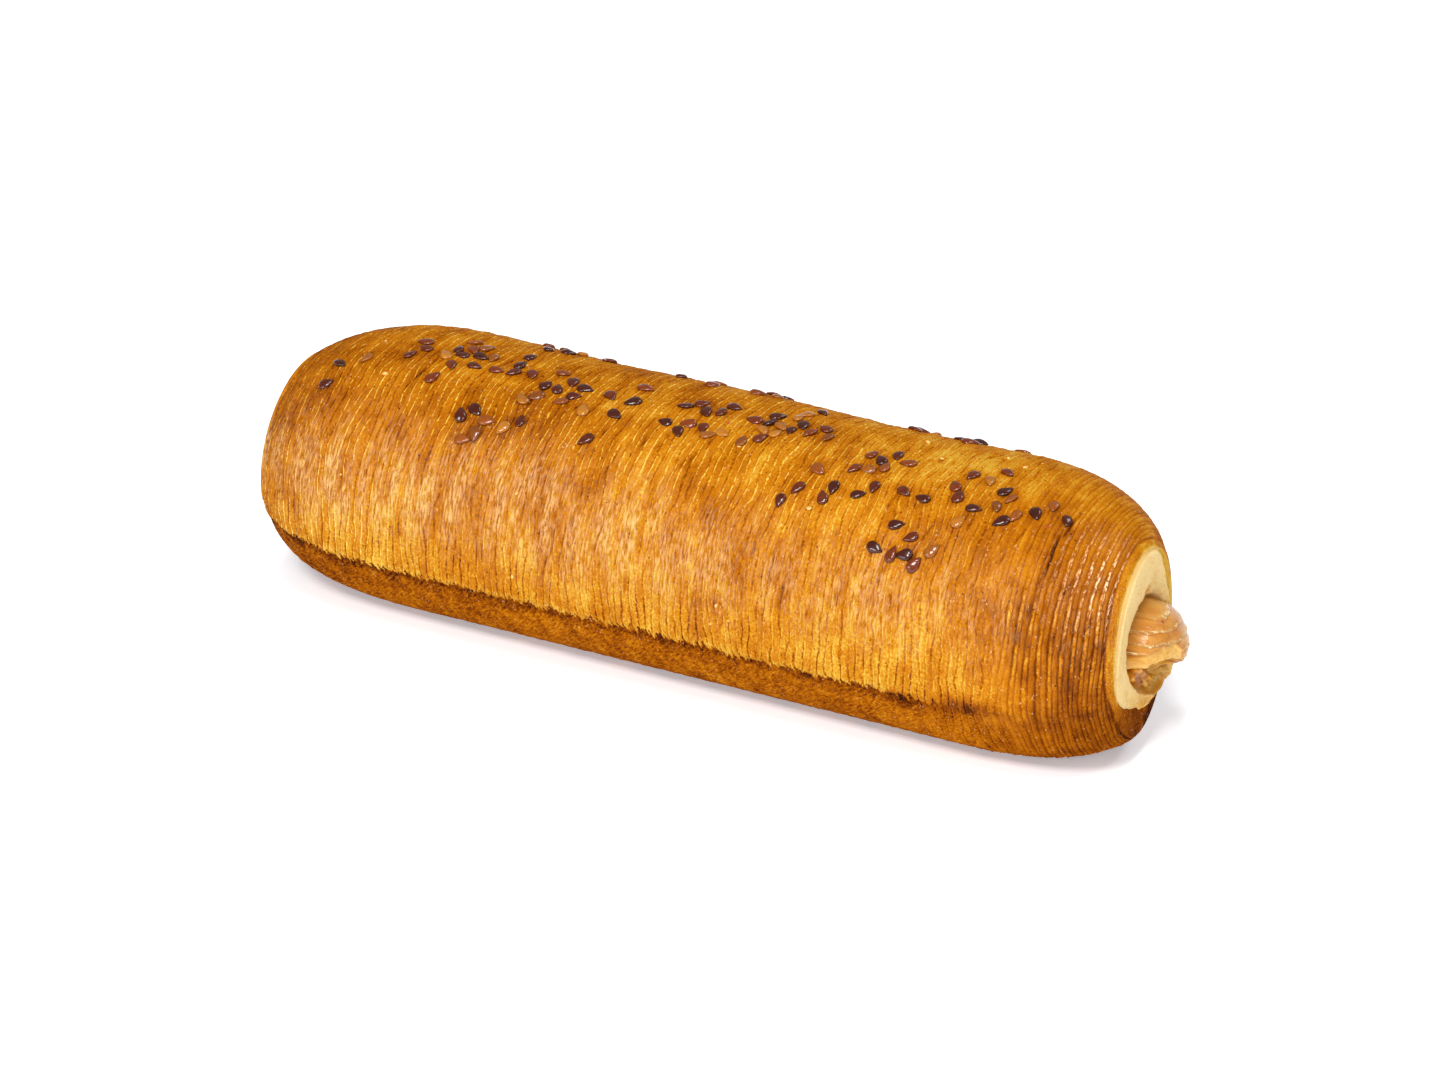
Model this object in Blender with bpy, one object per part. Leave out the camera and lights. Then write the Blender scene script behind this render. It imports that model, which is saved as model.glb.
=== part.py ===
# A cheese croissant roll: laminated dough rolled round a strand of cheese, baked on its side and
# sprinkled with sesame. The roll lies along X on a flat foot, with its crown up and -Y as its front.
# Both ends show the same thing: a round lip of crust, a ring of pale crumb, the end of the inner coil
# standing out as a nose, and under the nose a pocket where the cheese shows.
# The driving sizes are in millimetres.

import math
import random

import bmesh
import bpy
import numpy as np
from mathutils import Matrix

MM = 0.001

# The roll's body, as a section that is the same from shoulder to shoulder.
LENGTH = 174.4            # lip to lip, without the noses
WIDTH = 58.5
HEIGHT = 48.5
CROWN_POWER = 2.3         # 2 would be an elliptic crown, more is squarer
BELLY_Z = 20.8            # height of the widest line
CREASE_Z = 16.0           # where the coil's last turn is tucked under
CREASE_IN = 0.6           # how far the crease is in from the widest line
CREASE_STEP = 0.8         # how far the turn above overhangs the underside
CREASE_FADED = 0.25       # the same where the overhang has faded out
CREASE_ENDS = (46.0, 66.0)   # towards the right end the overhang fades out between these
UNDER_SLOPE = 27.0        # degrees by which the underside leans in below the crease
FOOT_HALF = 10.5          # half width of the flat foot
FOOT_END = 66.0           # half its length
FOOT_HOLLOW = 0.02        # by which it is clear of the table between its four corners
FOOT_CORNER = 0.4         # how much further out the corners stand

# The two domed ends.
DOME_LONG = 34.0          # length of the dome along X
DOME_POWER_ALONG = 2.8
DOME_POWER_ACROSS = 1.5
DOME_RADIUS = 15.0        # mean distance from a section's edge in to the lip
DOME_STATIONS = 0.8       # below 1 puts more stations near the shoulder, where the dome sets in
LIP_Y = -2.5              # the round lip: centre and half axes
LIP_Z = 22.9
LIP_HALF_Y = 15.4
LIP_HALF_Z = 17.6
SKEW = (6.5, 1.5)         # degrees by which the right and left end faces turn to the back
SKEW_FROM = 20.0          # distance from the middle at which the turn sets in
SKEW_POWER = 1.3          # over 1 leaves most of the turn to the ends

# The end of the inner coil, inside the lip.
NOSE_Y = 1.8
NOSE_Z = 21.4
NOSE_LONG = 10.2          # half axes of its outline
NOSE_SHORT = 7.6
NOSE_TILT = -20.0         # degrees, its long axis falls towards the back
NOSE_OUT = (7.0, 4.0)     # how far the right and left noses stand out
CRUMB_DIP = 1.3           # depth of the valley between nose and crumb
CRUMB_BULGE = 3.0         # how far the crumb stands out where it runs into the nose's low end
BULGE_AT = -38.0          # degrees round from the back, below level
# From lip to nose: share of the way, depth below (or height over) the lip, share of the bulge.
CRUMB_RINGS = ((0.10, 0.25, 0.2), (0.55, -0.6, 1.0), (0.92, -CRUMB_DIP, 1.0))
NOSE_RINGS = (0.97, 0.86, 0.62, 0.32)    # shares of the nose's outline
NOSE_BLUNT = 0.25         # how much the nose's flanks are drawn in, for a blunter top

# The pocket under each nose, the strand of cheese and the channel that it runs in.
POCKET_Y = -0.4
POCKET_Z = 15.8
POCKET_LONG = 7.7
POCKET_SHORT = 3.9
POCKET_TILT = -30.0
# Distance out from the lip's plane, and the share of full size there.
POCKET_SHAPE = ((8.0, 1.06), (1.5, 1.02), (-0.6, 0.98), (-3.5, 0.86), (-6.5, 0.66), (-9.0, 0.35))
CHEESE_Y = 0.2
CHEESE_Z = 14.1
CHEESE_LONG = 5.0
CHEESE_SHORT = 1.9
CHEESE_BACK = 0.6         # how far behind the lip's plane the cheese stops
# Distance back from the cheese's end, and the share of its full section there.
CHEESE_END = ((0.0, 0.55), (0.5, 0.82), (1.6, 0.96), (5.0, 1.0), (57.0, 0.96))
GAP = 0.3                 # clearance between the cheese and the dough

# Relief: ridges that run round the roll, wide at the ends and fine in the middle.
RIDGE_WIDE = 2.3          # crest to crest on the domes
RIDGE_FINE = 5.2          # crest to crest between them
RIDGE_HIGH_END = 0.27     # half the height of a ridge on the domes
RIDGE_HIGH_MID = 0.13
RIDGE_HIGH_FROM = 50.0    # distances from the middle between which they grow
RIDGE_HIGH_TO = 75.0
RIDGE_WIDE_FROM = 45.5    # and between which they widen
RIDGE_WIDE_TO = 73.5
RIDGE_UNDER = 0.25        # their height under the crease, as a share
UNEVEN = 0.35             # slow swell of the whole crust

# Sesame: each handful is (x, distance down from the crown line towards the front, spread along X,
# spread across, how many).
SEED_LONG = 3.2
SEED_WIDE = 2.0
SEED_THICK = 1.1
SEED_RISE = 0.10          # how far a seed's middle lies above the crust
SEED_SIDES = 6
SEED_TOP = 0.66           # width of a seed's top, as a share of its foot
SEED_SPACING = 2.4        # closest that two seeds' middles come
SEED_SCATTER = 0.6        # a handful's standard deviation, as a share of its spread
SEED_SIZES = (0.88, 1.08)
HANDFULS = (
    (-73, 12, 3, 6, 3),
    (-54, 2, 8, 6, 19),
    (-40, 18, 5, 3, 6),
    (-31, 6, 6, 7, 10),
    (-18, 8, 5, 8, 6),
    (0, 6, 7, 7, 12),
    (14, 1, 6, 5, 15),
    (26, 18, 5, 4, 4),
    (36, 7, 6, 7, 11),
    (48, 24, 7, 3, 7),
    (59, 9, 8, 8, 16),
    (-44, -16, 12, 4, 6),
    (-4, -16, 14, 4, 7),
    (40, -16, 16, 4, 7),
)

AROUND_CROWN = 8          # faces from the crown line down to the crease, on each side
AROUND_UNDER = 3          # faces from the crease to the foot


def halfOutline(steps=400):
    """Front half of the section, dense: y and z from the crown line to the edge of the foot."""
    angle = np.linspace(math.pi / 2, 0, steps)
    half = WIDTH / 2
    y = half * np.cos(angle) ** (2 / CROWN_POWER)
    z = BELLY_Z + (HEIGHT - BELLY_Z) * np.sin(angle) ** (2 / CROWN_POWER)
    down = np.linspace(0, 1, steps // 8)[1:]
    y = np.append(y, half - CREASE_IN * down ** 2)
    z = np.append(z, BELLY_Z + (CREASE_Z - BELLY_Z) * down)
    return y, z


def underOutline(step, steps=120):
    """From the crease to the edge of the foot, as a curve that leaves at the underside's slope."""
    start = np.array([WIDTH / 2 - CREASE_IN - step, CREASE_Z - 0.7 * step])
    bend = np.array([start[0] - start[1] * math.tan(math.radians(UNDER_SLOPE)), 0.0])
    end = np.array([FOOT_HALF, 0.0])
    t = np.linspace(0, 1, steps)[:, None]
    curve = (1 - t) ** 2 * start + 2 * t * (1 - t) * bend + t ** 2 * end
    return curve[:, 0], curve[:, 1]


def arcLength(y, z):
    return np.append(0.0, np.cumsum(np.hypot(np.diff(y), np.diff(z))))


crownY, crownZ = halfOutline()
crownArc = arcLength(crownY, crownZ)
underY, underZ = underOutline(CREASE_STEP)
underArc = arcLength(underY, underZ)
plainY, plainZ = underOutline(CREASE_FADED)
plainArc = arcLength(plainY, plainZ)


def domeTable(steps=1200):
    """Distance over the surface from the middle of the roll, against X and the share of full section."""
    straight = LENGTH / 2 - DOME_LONG
    u = np.sin(np.linspace(0, math.pi / 2, steps)) ** DOME_STATIONS
    share = np.clip(1 - u ** DOME_POWER_ALONG, 0, 1) ** (1 / DOME_POWER_ACROSS)
    x = straight + DOME_LONG * u
    over = straight + arcLength(x, DOME_RADIUS * share)
    return np.append(0.0, over), np.append(0.0, x), np.append(1.0, share)


overTable, xTable, shareTable = domeTable()
REACH = float(overTable[-1])


def shear(x, y):
    """Turns the end faces a little to the back, so that the front of an end stands further out."""
    far = np.clip((np.abs(x) - SKEW_FROM) / (LENGTH / 2 - SKEW_FROM), 0, 1) ** SKEW_POWER
    degrees = np.where(x > 0, SKEW[0], SKEW[1]) * far
    return x - np.sign(x) * np.tan(np.radians(degrees)) * y


def rollPoint(over, y, z):
    """A point of the bare crust: over the roll from its middle, for a point (y, z) of the section."""
    x = np.sign(over) * np.interp(np.abs(over), overTable, xTable)
    share = np.interp(np.abs(over), overTable, shareTable)
    angle = np.arctan2((z - LIP_Z) / LIP_HALF_Z, (y - LIP_Y) / LIP_HALF_Y)
    lipY = LIP_Y + LIP_HALF_Y * np.cos(angle)
    lipZ = LIP_Z + LIP_HALF_Z * np.sin(angle)
    y = lipY + (y - lipY) * share
    z = lipZ + (z - lipZ) * share
    return np.stack([shear(x, y), y, z], axis=-1)


def crownPoint(over, across):
    """The same for a distance across from the crown line, positive to the back."""
    y = np.sign(across) * np.interp(np.abs(across), crownArc, crownY)
    z = np.interp(np.abs(across), crownArc, crownZ)
    return rollPoint(over, y, z)


def swell(over, across):
    """Slow unevenness of the crust, in mm."""
    wave = np.sin(over / 17.0 + 0.6) * np.cos(across / 13.0 + over / 41.0)
    return UNEVEN * (0.6 * wave + 0.4 * np.sin(over / 9.3 - across / 21.0 + 2.1))


def section(creased):
    """One section's points from the crown line down the front, under the roll and up the back.
    Each is (y, z, distance across), and creased is the share of the overhang that it has."""
    across = np.linspace(0, crownArc[-1], AROUND_CROWN + 1)
    low = np.linspace(0, 1, AROUND_UNDER + 1)
    deepAt = low * underArc[-1]
    plainAt = low * plainArc[-1]
    lowY = (np.interp(deepAt, underArc, underY) * creased
            + np.interp(plainAt, plainArc, plainY) * (1 - creased))
    lowZ = (np.interp(deepAt, underArc, underZ) * creased
            + np.interp(plainAt, plainArc, plainZ) * (1 - creased))
    y = np.append(np.interp(across, crownArc, crownY), lowY)
    z = np.append(np.interp(across, crownArc, crownZ), lowZ)
    across = np.append(across, crownArc[-1] + 1 + deepAt)
    front = np.stack([-y, z, -across], axis=1)
    back = np.stack([y, z, across], axis=1)[::-1][:-1]
    return np.concatenate([front, [[0.0, 0.0, -across[-1] - FOOT_HALF]], back])


def ridgeStations():
    """Distances over the roll of the ridge crests and the grooves between them, and each one's sign."""
    stations = []
    over = 0.0
    while over < REACH - 0.4 * RIDGE_WIDE:
        stations.append(over)
        end = np.clip((over - RIDGE_WIDE_FROM) / (RIDGE_WIDE_TO - RIDGE_WIDE_FROM), 0, 1)
        over += (RIDGE_FINE + (RIDGE_WIDE - RIDGE_FINE) * end) / 2
    stations = np.array(stations + [REACH])
    crest = np.where(np.arange(len(stations)) % 2 == 0, 1.0, -1.0)
    crest[-1] = 0.0
    return np.append(-stations[:0:-1], stations), np.append(crest[:0:-1], crest)


def ellipsePoints(centre, halfLong, halfShort, tilt, angles):
    turn = math.radians(tilt)
    along, across = halfLong * np.cos(angles), halfShort * np.sin(angles)
    y = centre[0] + along * math.cos(turn) - across * math.sin(turn)
    z = centre[1] + along * math.sin(turn) + across * math.cos(turn)
    return y, z


def crustRings():
    """The crust's rings of points, from the left lip to the right one, with their ridges."""
    overs, crests = ridgeStations()
    creased = np.clip((CREASE_ENDS[1] - overs) / (CREASE_ENDS[1] - CREASE_ENDS[0]), 0, 1)
    sections = np.array([section(share) for share in creased])
    across = sections[0, :, 2]
    bare = np.array([rollPoint(over, part[:, 0], part[:, 1]) for over, part in zip(overs, sections)])
    alongX = np.gradient(bare, axis=0)
    around = np.roll(bare, -1, axis=1) - np.roll(bare, 1, axis=1)
    normal = np.cross(around, alongX)
    normal /= np.linalg.norm(normal, axis=2, keepdims=True)
    normal *= np.sign(np.sum(normal * (bare - [0, 0, BELLY_Z]), axis=2, keepdims=True))
    end = np.clip((np.abs(overs) - RIDGE_HIGH_FROM) / (RIDGE_HIGH_TO - RIDGE_HIGH_FROM), 0, 1)
    high = ((RIDGE_HIGH_MID + (RIDGE_HIGH_END - RIDGE_HIGH_MID) * end) * crests)[:, None]
    above = np.abs(across) <= crownArc[-1] - 1
    relief = np.where(above, high + swell(overs[:, None], across[None, :]), RIDGE_UNDER * high)
    relief *= np.clip((REACH - np.abs(overs)) / RIDGE_WIDE, 0, 1)[:, None]
    stands = np.abs(overs) <= FOOT_END
    foot = stands[:, None] & (np.abs(sections[:, :, 0]) <= FOOT_HALF) & (sections[:, :, 1] < GAP)
    rings = bare + normal * np.where(foot, 0.0, relief)[:, :, None]
    rings[:, :, 2] = np.maximum(rings[:, :, 2], FOOT_HOLLOW)
    rings[foot, 2] = FOOT_HOLLOW
    ends = np.flatnonzero(stands)[[0, -1]]
    edges = np.flatnonzero(foot[ends[0]])[[0, -1]]
    for end in ends:                        # the roll stands on the foot's four corners
        rings[end, edges, 1] = (-FOOT_HALF - FOOT_CORNER, FOOT_HALF + FOOT_CORNER)
        rings[end, edges, 2] = 0.0
    return rings


def endRings(lip, side):
    """From just inside the lip to the tip of the nose: crumb, valley, and the nose itself."""
    face = side * LENGTH / 2
    angles = np.arctan2((lip[:, 2] - LIP_Z) / LIP_HALF_Z, (lip[:, 1] - LIP_Y) / LIP_HALF_Y)
    turned = angles - math.radians(NOSE_TILT)
    noseY, noseZ = ellipsePoints((NOSE_Y, NOSE_Z), NOSE_LONG, NOSE_SHORT, NOSE_TILT, turned)
    out = NOSE_OUT[0 if side > 0 else 1]
    bulge = np.clip(np.cos(angles - math.radians(BULGE_AT)), 0, 1) ** 2 * CRUMB_BULGE
    rings = []
    for share, rise, swollen in CRUMB_RINGS:
        y = lip[:, 1] + (noseY - lip[:, 1]) * share
        z = lip[:, 2] + (noseZ - lip[:, 2]) * share
        rings.append(np.stack([shear(face, y) + side * (rise + bulge * swollen), y, z], axis=1))
    for share in NOSE_RINGS:
        y = NOSE_Y + (noseY - NOSE_Y) * share
        z = NOSE_Z + (noseZ - NOSE_Z) * share
        dome = out * math.sqrt(1 - share ** 2) * (1 - NOSE_BLUNT * share)
        rings.append(np.stack([shear(face, y) + side * dome, y, z], axis=1))
    return rings, (shear(face, NOSE_Y) + side * out, NOSE_Y, NOSE_Z)


def material(name, colour, roughness):
    made = bpy.data.materials.new(name)
    made.use_nodes = True
    shader = made.node_tree.nodes["Principled BSDF"]
    shader.inputs["Base Color"].default_value = (*colour, 1.0)
    shader.inputs["Roughness"].default_value = roughness
    shader.inputs["Metallic"].default_value = 0.0
    made.diffuse_color = (*colour, 1.0)
    return made


def loft(name, rings, tips):
    """Closed mesh through the rings, shut by a fan of triangles onto a tip at each end."""
    bm = bmesh.new()
    loops = [[bm.verts.new(np.array(point) * MM) for point in ring] for ring in rings]
    for lower, upper in zip(loops, loops[1:]):
        for i, corner in enumerate(lower):
            j = (i + 1) % len(lower)
            bm.faces.new((corner, lower[j], upper[j], upper[i]))
    for tip, loop in zip(tips, (loops[0], loops[-1])):
        point = bm.verts.new(np.array(tip) * MM)
        for i, corner in enumerate(loop):
            bm.faces.new((corner, loop[(i + 1) % len(loop)], point))
    bmesh.ops.recalc_face_normals(bm, faces=bm.faces)
    mesh = bpy.data.meshes.new(name)
    bm.to_mesh(mesh)
    bm.free()
    made = bpy.data.objects.new(name, mesh)
    bpy.context.collection.objects.link(made)
    return made


def rod(name, places, centre, tilt, sides=20):
    """A rod of elliptic section along X: each place is (x, half length, half height of its section)."""
    angles = np.linspace(0, 2 * math.pi, sides, endpoint=False)
    rings = []
    for x, halfLong, halfShort in places:
        y, z = ellipsePoints(centre, halfLong, halfShort, tilt, angles)
        rings.append(np.stack([np.full(sides, float(x)), y, z], axis=1))
    tips = [(places[0][0], *centre), (places[-1][0], *centre)]
    return loft(name, rings, tips)


def cutter(made):
    made.hide_render = True
    made.display_type = "WIRE"
    return made


def pocketCutter(side):
    """The pocket under one nose: wide at its mouth, narrowing to a rounded back."""
    places = []
    for out, share in POCKET_SHAPE:
        places.append((side * (LENGTH / 2 + out), POCKET_LONG * share, POCKET_SHORT * share))
    name = "pocket_right" if side > 0 else "pocket_left"
    return cutter(rod(name, places, (POCKET_Y, POCKET_Z), POCKET_TILT, 18))


def channelCutter():
    """The way right through the dough that the cheese lies in."""
    over = LENGTH / 2 + 10
    places = [(x, CHEESE_LONG + GAP, CHEESE_SHORT + GAP) for x in (-over, 0, over)]
    return cutter(rod("channel", places, (CHEESE_Y, CHEESE_Z), POCKET_TILT, 16))


def makeCheese():
    """The strand of cheese, melted to a round end that shows in each pocket."""
    half = [(LENGTH / 2 - CHEESE_BACK - back, share) for back, share in CHEESE_END]
    shape = [(-x, share) for x, share in half] + [(0.0, 1.0)] + half[::-1]
    places = [(x, CHEESE_LONG * share, CHEESE_SHORT * share) for x, share in shape]
    cheese = rod("cheese_filling", places, (CHEESE_Y, CHEESE_Z), POCKET_TILT, 16)
    cheese.data.materials.append(material("melted_cheese", (0.80, 0.48, 0.09), 0.25))
    cheese.data.shade_smooth()
    return cheese


def seedMesh():
    """A sesame seed: a flat drop, blunt at one end and pointed at the other."""
    bm = bmesh.new()
    bmesh.ops.create_cone(
        bm, cap_ends=True, segments=SEED_SIDES, radius1=0.5, radius2=0.5 * SEED_TOP, depth=1.0
    )
    for corner in bm.verts:
        point = 2 * corner.co.x
        corner.co.y *= 1 - 0.42 * point - 0.12 * point ** 2
        corner.co.x *= SEED_LONG * MM
        corner.co.y *= SEED_WIDE * 1.12 * MM
        corner.co.z *= SEED_THICK * MM
    mesh = bpy.data.meshes.new("sesame_seed")
    bm.to_mesh(mesh)
    bm.free()
    return mesh


def seedPlaces():
    """Where the seeds fell: seeded draws round each handful, none closer than the spacing."""
    draw = random.Random(11)
    places = []
    for x, down, spreadX, spreadAcross, count in HANDFULS:
        tries = 0
        placed = 0
        while placed < count and tries < 40 * count:
            tries += 1
            over = x + draw.gauss(0, SEED_SCATTER) * spreadX
            across = -down + draw.gauss(0, SEED_SCATTER) * spreadAcross
            turn = draw.uniform(0, 2 * math.pi)
            size = draw.uniform(*SEED_SIZES)
            if all(math.hypot(over - a, across - b) > SEED_SPACING for a, b, _, _ in places):
                places.append((over, across, turn, size))
                placed += 1
    return places


def makeSeeds():
    """The seeds, each lying flat on the crust where it fell, in a collection of their own."""
    held = bpy.data.collections.new("sesame")
    bpy.context.scene.collection.children.link(held)
    mesh = seedMesh()
    for number, (over, across, turn, size) in enumerate(seedPlaces()):
        here = crownPoint(over, across)
        along = crownPoint(over + 0.5, across) - here
        along /= np.linalg.norm(along)
        up = np.cross(along, crownPoint(over, across + 0.5) - here)
        up /= np.linalg.norm(up)
        lie = math.cos(turn) * along + math.sin(turn) * np.cross(up, along)
        frame = np.eye(4)
        frame[:3, 0] = lie * size
        frame[:3, 1] = np.cross(up, lie) * size
        frame[:3, 2] = up
        frame[:3, 3] = (here + up * (SEED_RISE + swell(over, across))) * MM
        seed = bpy.data.objects.new("sesame_%03d" % number, mesh)
        seed.matrix_world = Matrix(frame.tolist())
        held.objects.link(seed)
    return held


def boolean(target, operation, operand=None, collection=None):
    """Applies one Boolean to the target's mesh."""
    change = target.modifiers.new(operation.lower(), "BOOLEAN")
    change.operation = operation
    change.solver = "EXACT"
    if collection:
        change.operand_type = "COLLECTION"
        change.collection = collection
    else:
        change.object = operand
    bpy.context.view_layer.update()
    evaluated = target.evaluated_get(bpy.context.evaluated_depsgraph_get())
    mesh = bpy.data.meshes.new_from_object(evaluated)
    target.modifiers.remove(change)
    old = target.data
    target.data = mesh
    bpy.data.meshes.remove(old)


def dropScraps(target):
    """Keeps only the largest connected piece of the mesh."""
    bm = bmesh.new()
    bm.from_mesh(target.data)
    left = set(bm.verts)
    pieces = []
    while left:
        start = left.pop()
        piece, edge = {start}, [start]
        while edge:
            for joined in edge.pop().link_edges:
                for corner in joined.verts:
                    if corner in left:
                        left.discard(corner)
                        piece.add(corner)
                        edge.append(corner)
        pieces.append(piece)
    pieces.sort(key=len)
    for piece in pieces[:-1]:
        bmesh.ops.delete(bm, geom=list(piece), context="VERTS")
    bmesh.ops.triangulate(bm, faces=bm.faces)
    bm.to_mesh(target.data)
    bm.free()


def makeDough():
    crust = crustRings()
    rightRings, rightTip = endRings(crust[-1], 1)
    leftRings, leftTip = endRings(crust[0], -1)
    rings = leftRings[::-1] + list(crust) + rightRings
    dough = loft("pastry_dough", rings, (leftTip, rightTip))
    dough.data.materials.append(material("baked_crust", (0.56, 0.25, 0.05), 0.45))
    for made in (pocketCutter(1), pocketCutter(-1), channelCutter()):
        boolean(dough, "DIFFERENCE", operand=made)
        bpy.data.objects.remove(made)
    held = makeSeeds()
    boolean(dough, "UNION", collection=held)
    for seed in list(held.objects):
        bpy.data.objects.remove(seed)
    bpy.data.collections.remove(held)
    dropScraps(dough)
    return dough


def centre(nodes):
    """Moves the nodes' meshes together, so that the middle of their box is over the origin."""
    corners = np.array([corner.co for node in nodes for corner in node.data.vertices])
    middle = (corners.min(axis=0) + corners.max(axis=0)) / 2
    middle[2] = corners[:, 2].min()
    for node in nodes:
        node.data.transform(Matrix.Translation(-middle))


for old in list(bpy.data.objects):
    bpy.data.objects.remove(old)

centre((makeDough(), makeCheese()))
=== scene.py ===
import math
import random

import bmesh
import bpy
import numpy as np
from mathutils import Matrix, Vector


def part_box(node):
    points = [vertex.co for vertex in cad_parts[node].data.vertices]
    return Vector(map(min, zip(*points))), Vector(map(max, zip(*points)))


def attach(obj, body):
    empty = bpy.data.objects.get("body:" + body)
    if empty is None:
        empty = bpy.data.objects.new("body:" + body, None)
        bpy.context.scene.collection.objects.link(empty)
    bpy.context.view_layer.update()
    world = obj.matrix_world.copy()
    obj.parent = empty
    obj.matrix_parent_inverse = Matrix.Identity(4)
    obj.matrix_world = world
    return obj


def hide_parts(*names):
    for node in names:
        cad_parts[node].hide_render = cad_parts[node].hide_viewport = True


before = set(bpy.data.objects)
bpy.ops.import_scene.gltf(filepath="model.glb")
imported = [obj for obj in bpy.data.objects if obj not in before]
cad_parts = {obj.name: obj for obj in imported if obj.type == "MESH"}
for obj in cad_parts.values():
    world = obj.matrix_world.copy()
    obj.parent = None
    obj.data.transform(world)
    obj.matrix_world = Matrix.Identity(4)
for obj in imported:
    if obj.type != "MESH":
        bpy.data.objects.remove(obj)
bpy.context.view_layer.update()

mm = 0.001
bpy.context.scene.view_settings.view_transform = "Standard"


# colours are written as sRGB hex and turned to linear here
def hexColour(text, alpha=1.0):
    values = [int(text[i:i + 2], 16) / 255 for i in (1, 3, 5)]
    linear = [v / 12.92 if v <= 0.04045 else ((v + 0.055) / 1.055) ** 2.4 for v in values]
    return (*linear, alpha)


# a node's sockets take plain values, or the outputs of other nodes
def setInputs(tree, node, inputs):
    for socket, value in inputs.items():
        if isinstance(value, bpy.types.NodeSocket):
            tree.links.new(value, node.inputs[socket])
        else:
            node.inputs[socket].default_value = value


# adds one node, with its settings, the colours along it if it has any, and its values and links
def addNode(tree, kind, settings=None, inputs=None, tones=()):
    node = tree.nodes.new(kind)
    for field, value in (settings or {}).items():
        setattr(node, field, value)
    for number, (place, text) in enumerate(tones):
        stops = node.color_ramp.elements
        if number == 0:
            stops.remove(stops[-1])
        stop = stops.new(place) if number else stops[0]
        stop.position, stop.color = place, hexColour(text)
    setInputs(tree, node, inputs or {})
    return node


# what a step can ask for besides arithmetic: the node, its settings, the sockets that its terms go to, its output
stepKinds = {
    "between": ("ShaderNodeMapRange", {"interpolation_type": "SMOOTHSTEP"}, ("Value", "From Min", "From Max"), 0),
    "placed": ("ShaderNodeMapping", {}, ("Vector", "Scale", "Rotation"), 0),
    "noise": ("ShaderNodeTexNoise", {}, ("Vector", "Scale", "Detail", "Roughness"), 0),
    "cells": ("ShaderNodeTexVoronoi", {}, ("Vector", "Scale"), 0),
    "joined": ("ShaderNodeCombineXYZ", {}, ("X", "Y", "Z"), 0),
    "bumpy": ("ShaderNodeBump", {}, ("Height", "Strength", "Distance"), 0),
    "mixed": ("ShaderNodeMix", {"data_type": "RGBA"}, ("A", "Factor", "B"), 2),
}


# each row is a label and its steps; a step is what is done and its terms, which are numbers or labels made before,
# and from the second step on the first term is what the last step made
def workOut(tree, made, rows):
    for label, *steps in rows:
        value = []
        for done, *terms in steps:
            kind, settings, sockets, out = stepKinds.get(done, ("ShaderNodeMath", {"operation": done}, (0, 1, 2), 0))
            terms = value + [made[term] if isinstance(term, str) else term for term in terms]
            while done in ("MULTIPLY", "MAXIMUM") and len(terms) > 2:       # these take any number of terms
                terms[:2] = [addNode(tree, kind, settings, dict(enumerate(terms[:2]))).outputs[0]]
            value = [addNode(tree, kind, settings, dict(zip(sockets, terms))).outputs[out]]
        made[label] = value[0]


# rows that add each value's share to what is there already
def addShares(label, shares):
    return [(label, ("MULTIPLY_ADD", part, share, label)) for part, share in shares.items()]


# the crust's and the crumb's materials start from the wrap in mm, and the values kept at each point
def startFields(tree, labels, noises):
    made = {label: addNode(tree, "ShaderNodeAttribute", {"attribute_name": label}).outputs["Fac"] for label in labels}
    made["wrap"] = addNode(tree, "ShaderNodeUVMap", {"uv_map": "wrap"}).outputs["UV"]
    workOut(tree, made, [(label, ("placed", "wrap", (alongOver, alongAcross, 1.0), (0.0, 0.0, turn)),
                          ("noise", 1.0, detail, rough))
                         for label, (alongOver, alongAcross, turn, detail, rough) in noises.items()])
    return made


def newMaterial(name):
    material = bpy.data.materials.new(name)
    material.use_nodes = True
    return material, material.node_tree, material.node_tree.nodes["Principled BSDF"]


# seeded smooth noise, about -1 to 1, one cell to each whole step of u and v
def softNoise(u, v, seed):
    wide = 251
    table = np.random.default_rng(seed).uniform(-1, 1, (wide, wide))
    u, v = np.broadcast_arrays(np.asarray(u, float) + 100.37, np.asarray(v, float) + 100.71)
    iu, iv = np.floor(u).astype(int), np.floor(v).astype(int)
    fu, fv = u - iu, v - iv
    fu, fv = fu * fu * (3 - 2 * fu), fv * fv * (3 - 2 * fv)
    a, b = table[iu % wide, iv % wide], table[(iu + 1) % wide, iv % wide]
    c, d = table[iu % wide, (iv + 1) % wide], table[(iu + 1) % wide, (iv + 1) % wide]
    return (a * (1 - fu) + b * fu) * (1 - fv) + (c * (1 - fu) + d * fu) * fv


# several noises laid over each other: how much, the size of a lump along and across in mm, and the seed
def layNoise(over, across, rows):
    return sum(much * softNoise(over / long, across / wide, seed) for much, long, wide, seed in rows)


# 0 below the first edge, 1 above the second, smooth between
def fade(value, start, stop):
    t = np.clip((value - start) / (stop - start), 0, 1)
    return t * t * (3 - 2 * t)


# a soft round or oval spot, 1 in its middle
def spot(u, v, middleU, middleV, wideU, wideV):
    return np.exp(-((u - middleU) / wideU) ** 2 - ((v - middleV) / wideV) ** 2)


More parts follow.
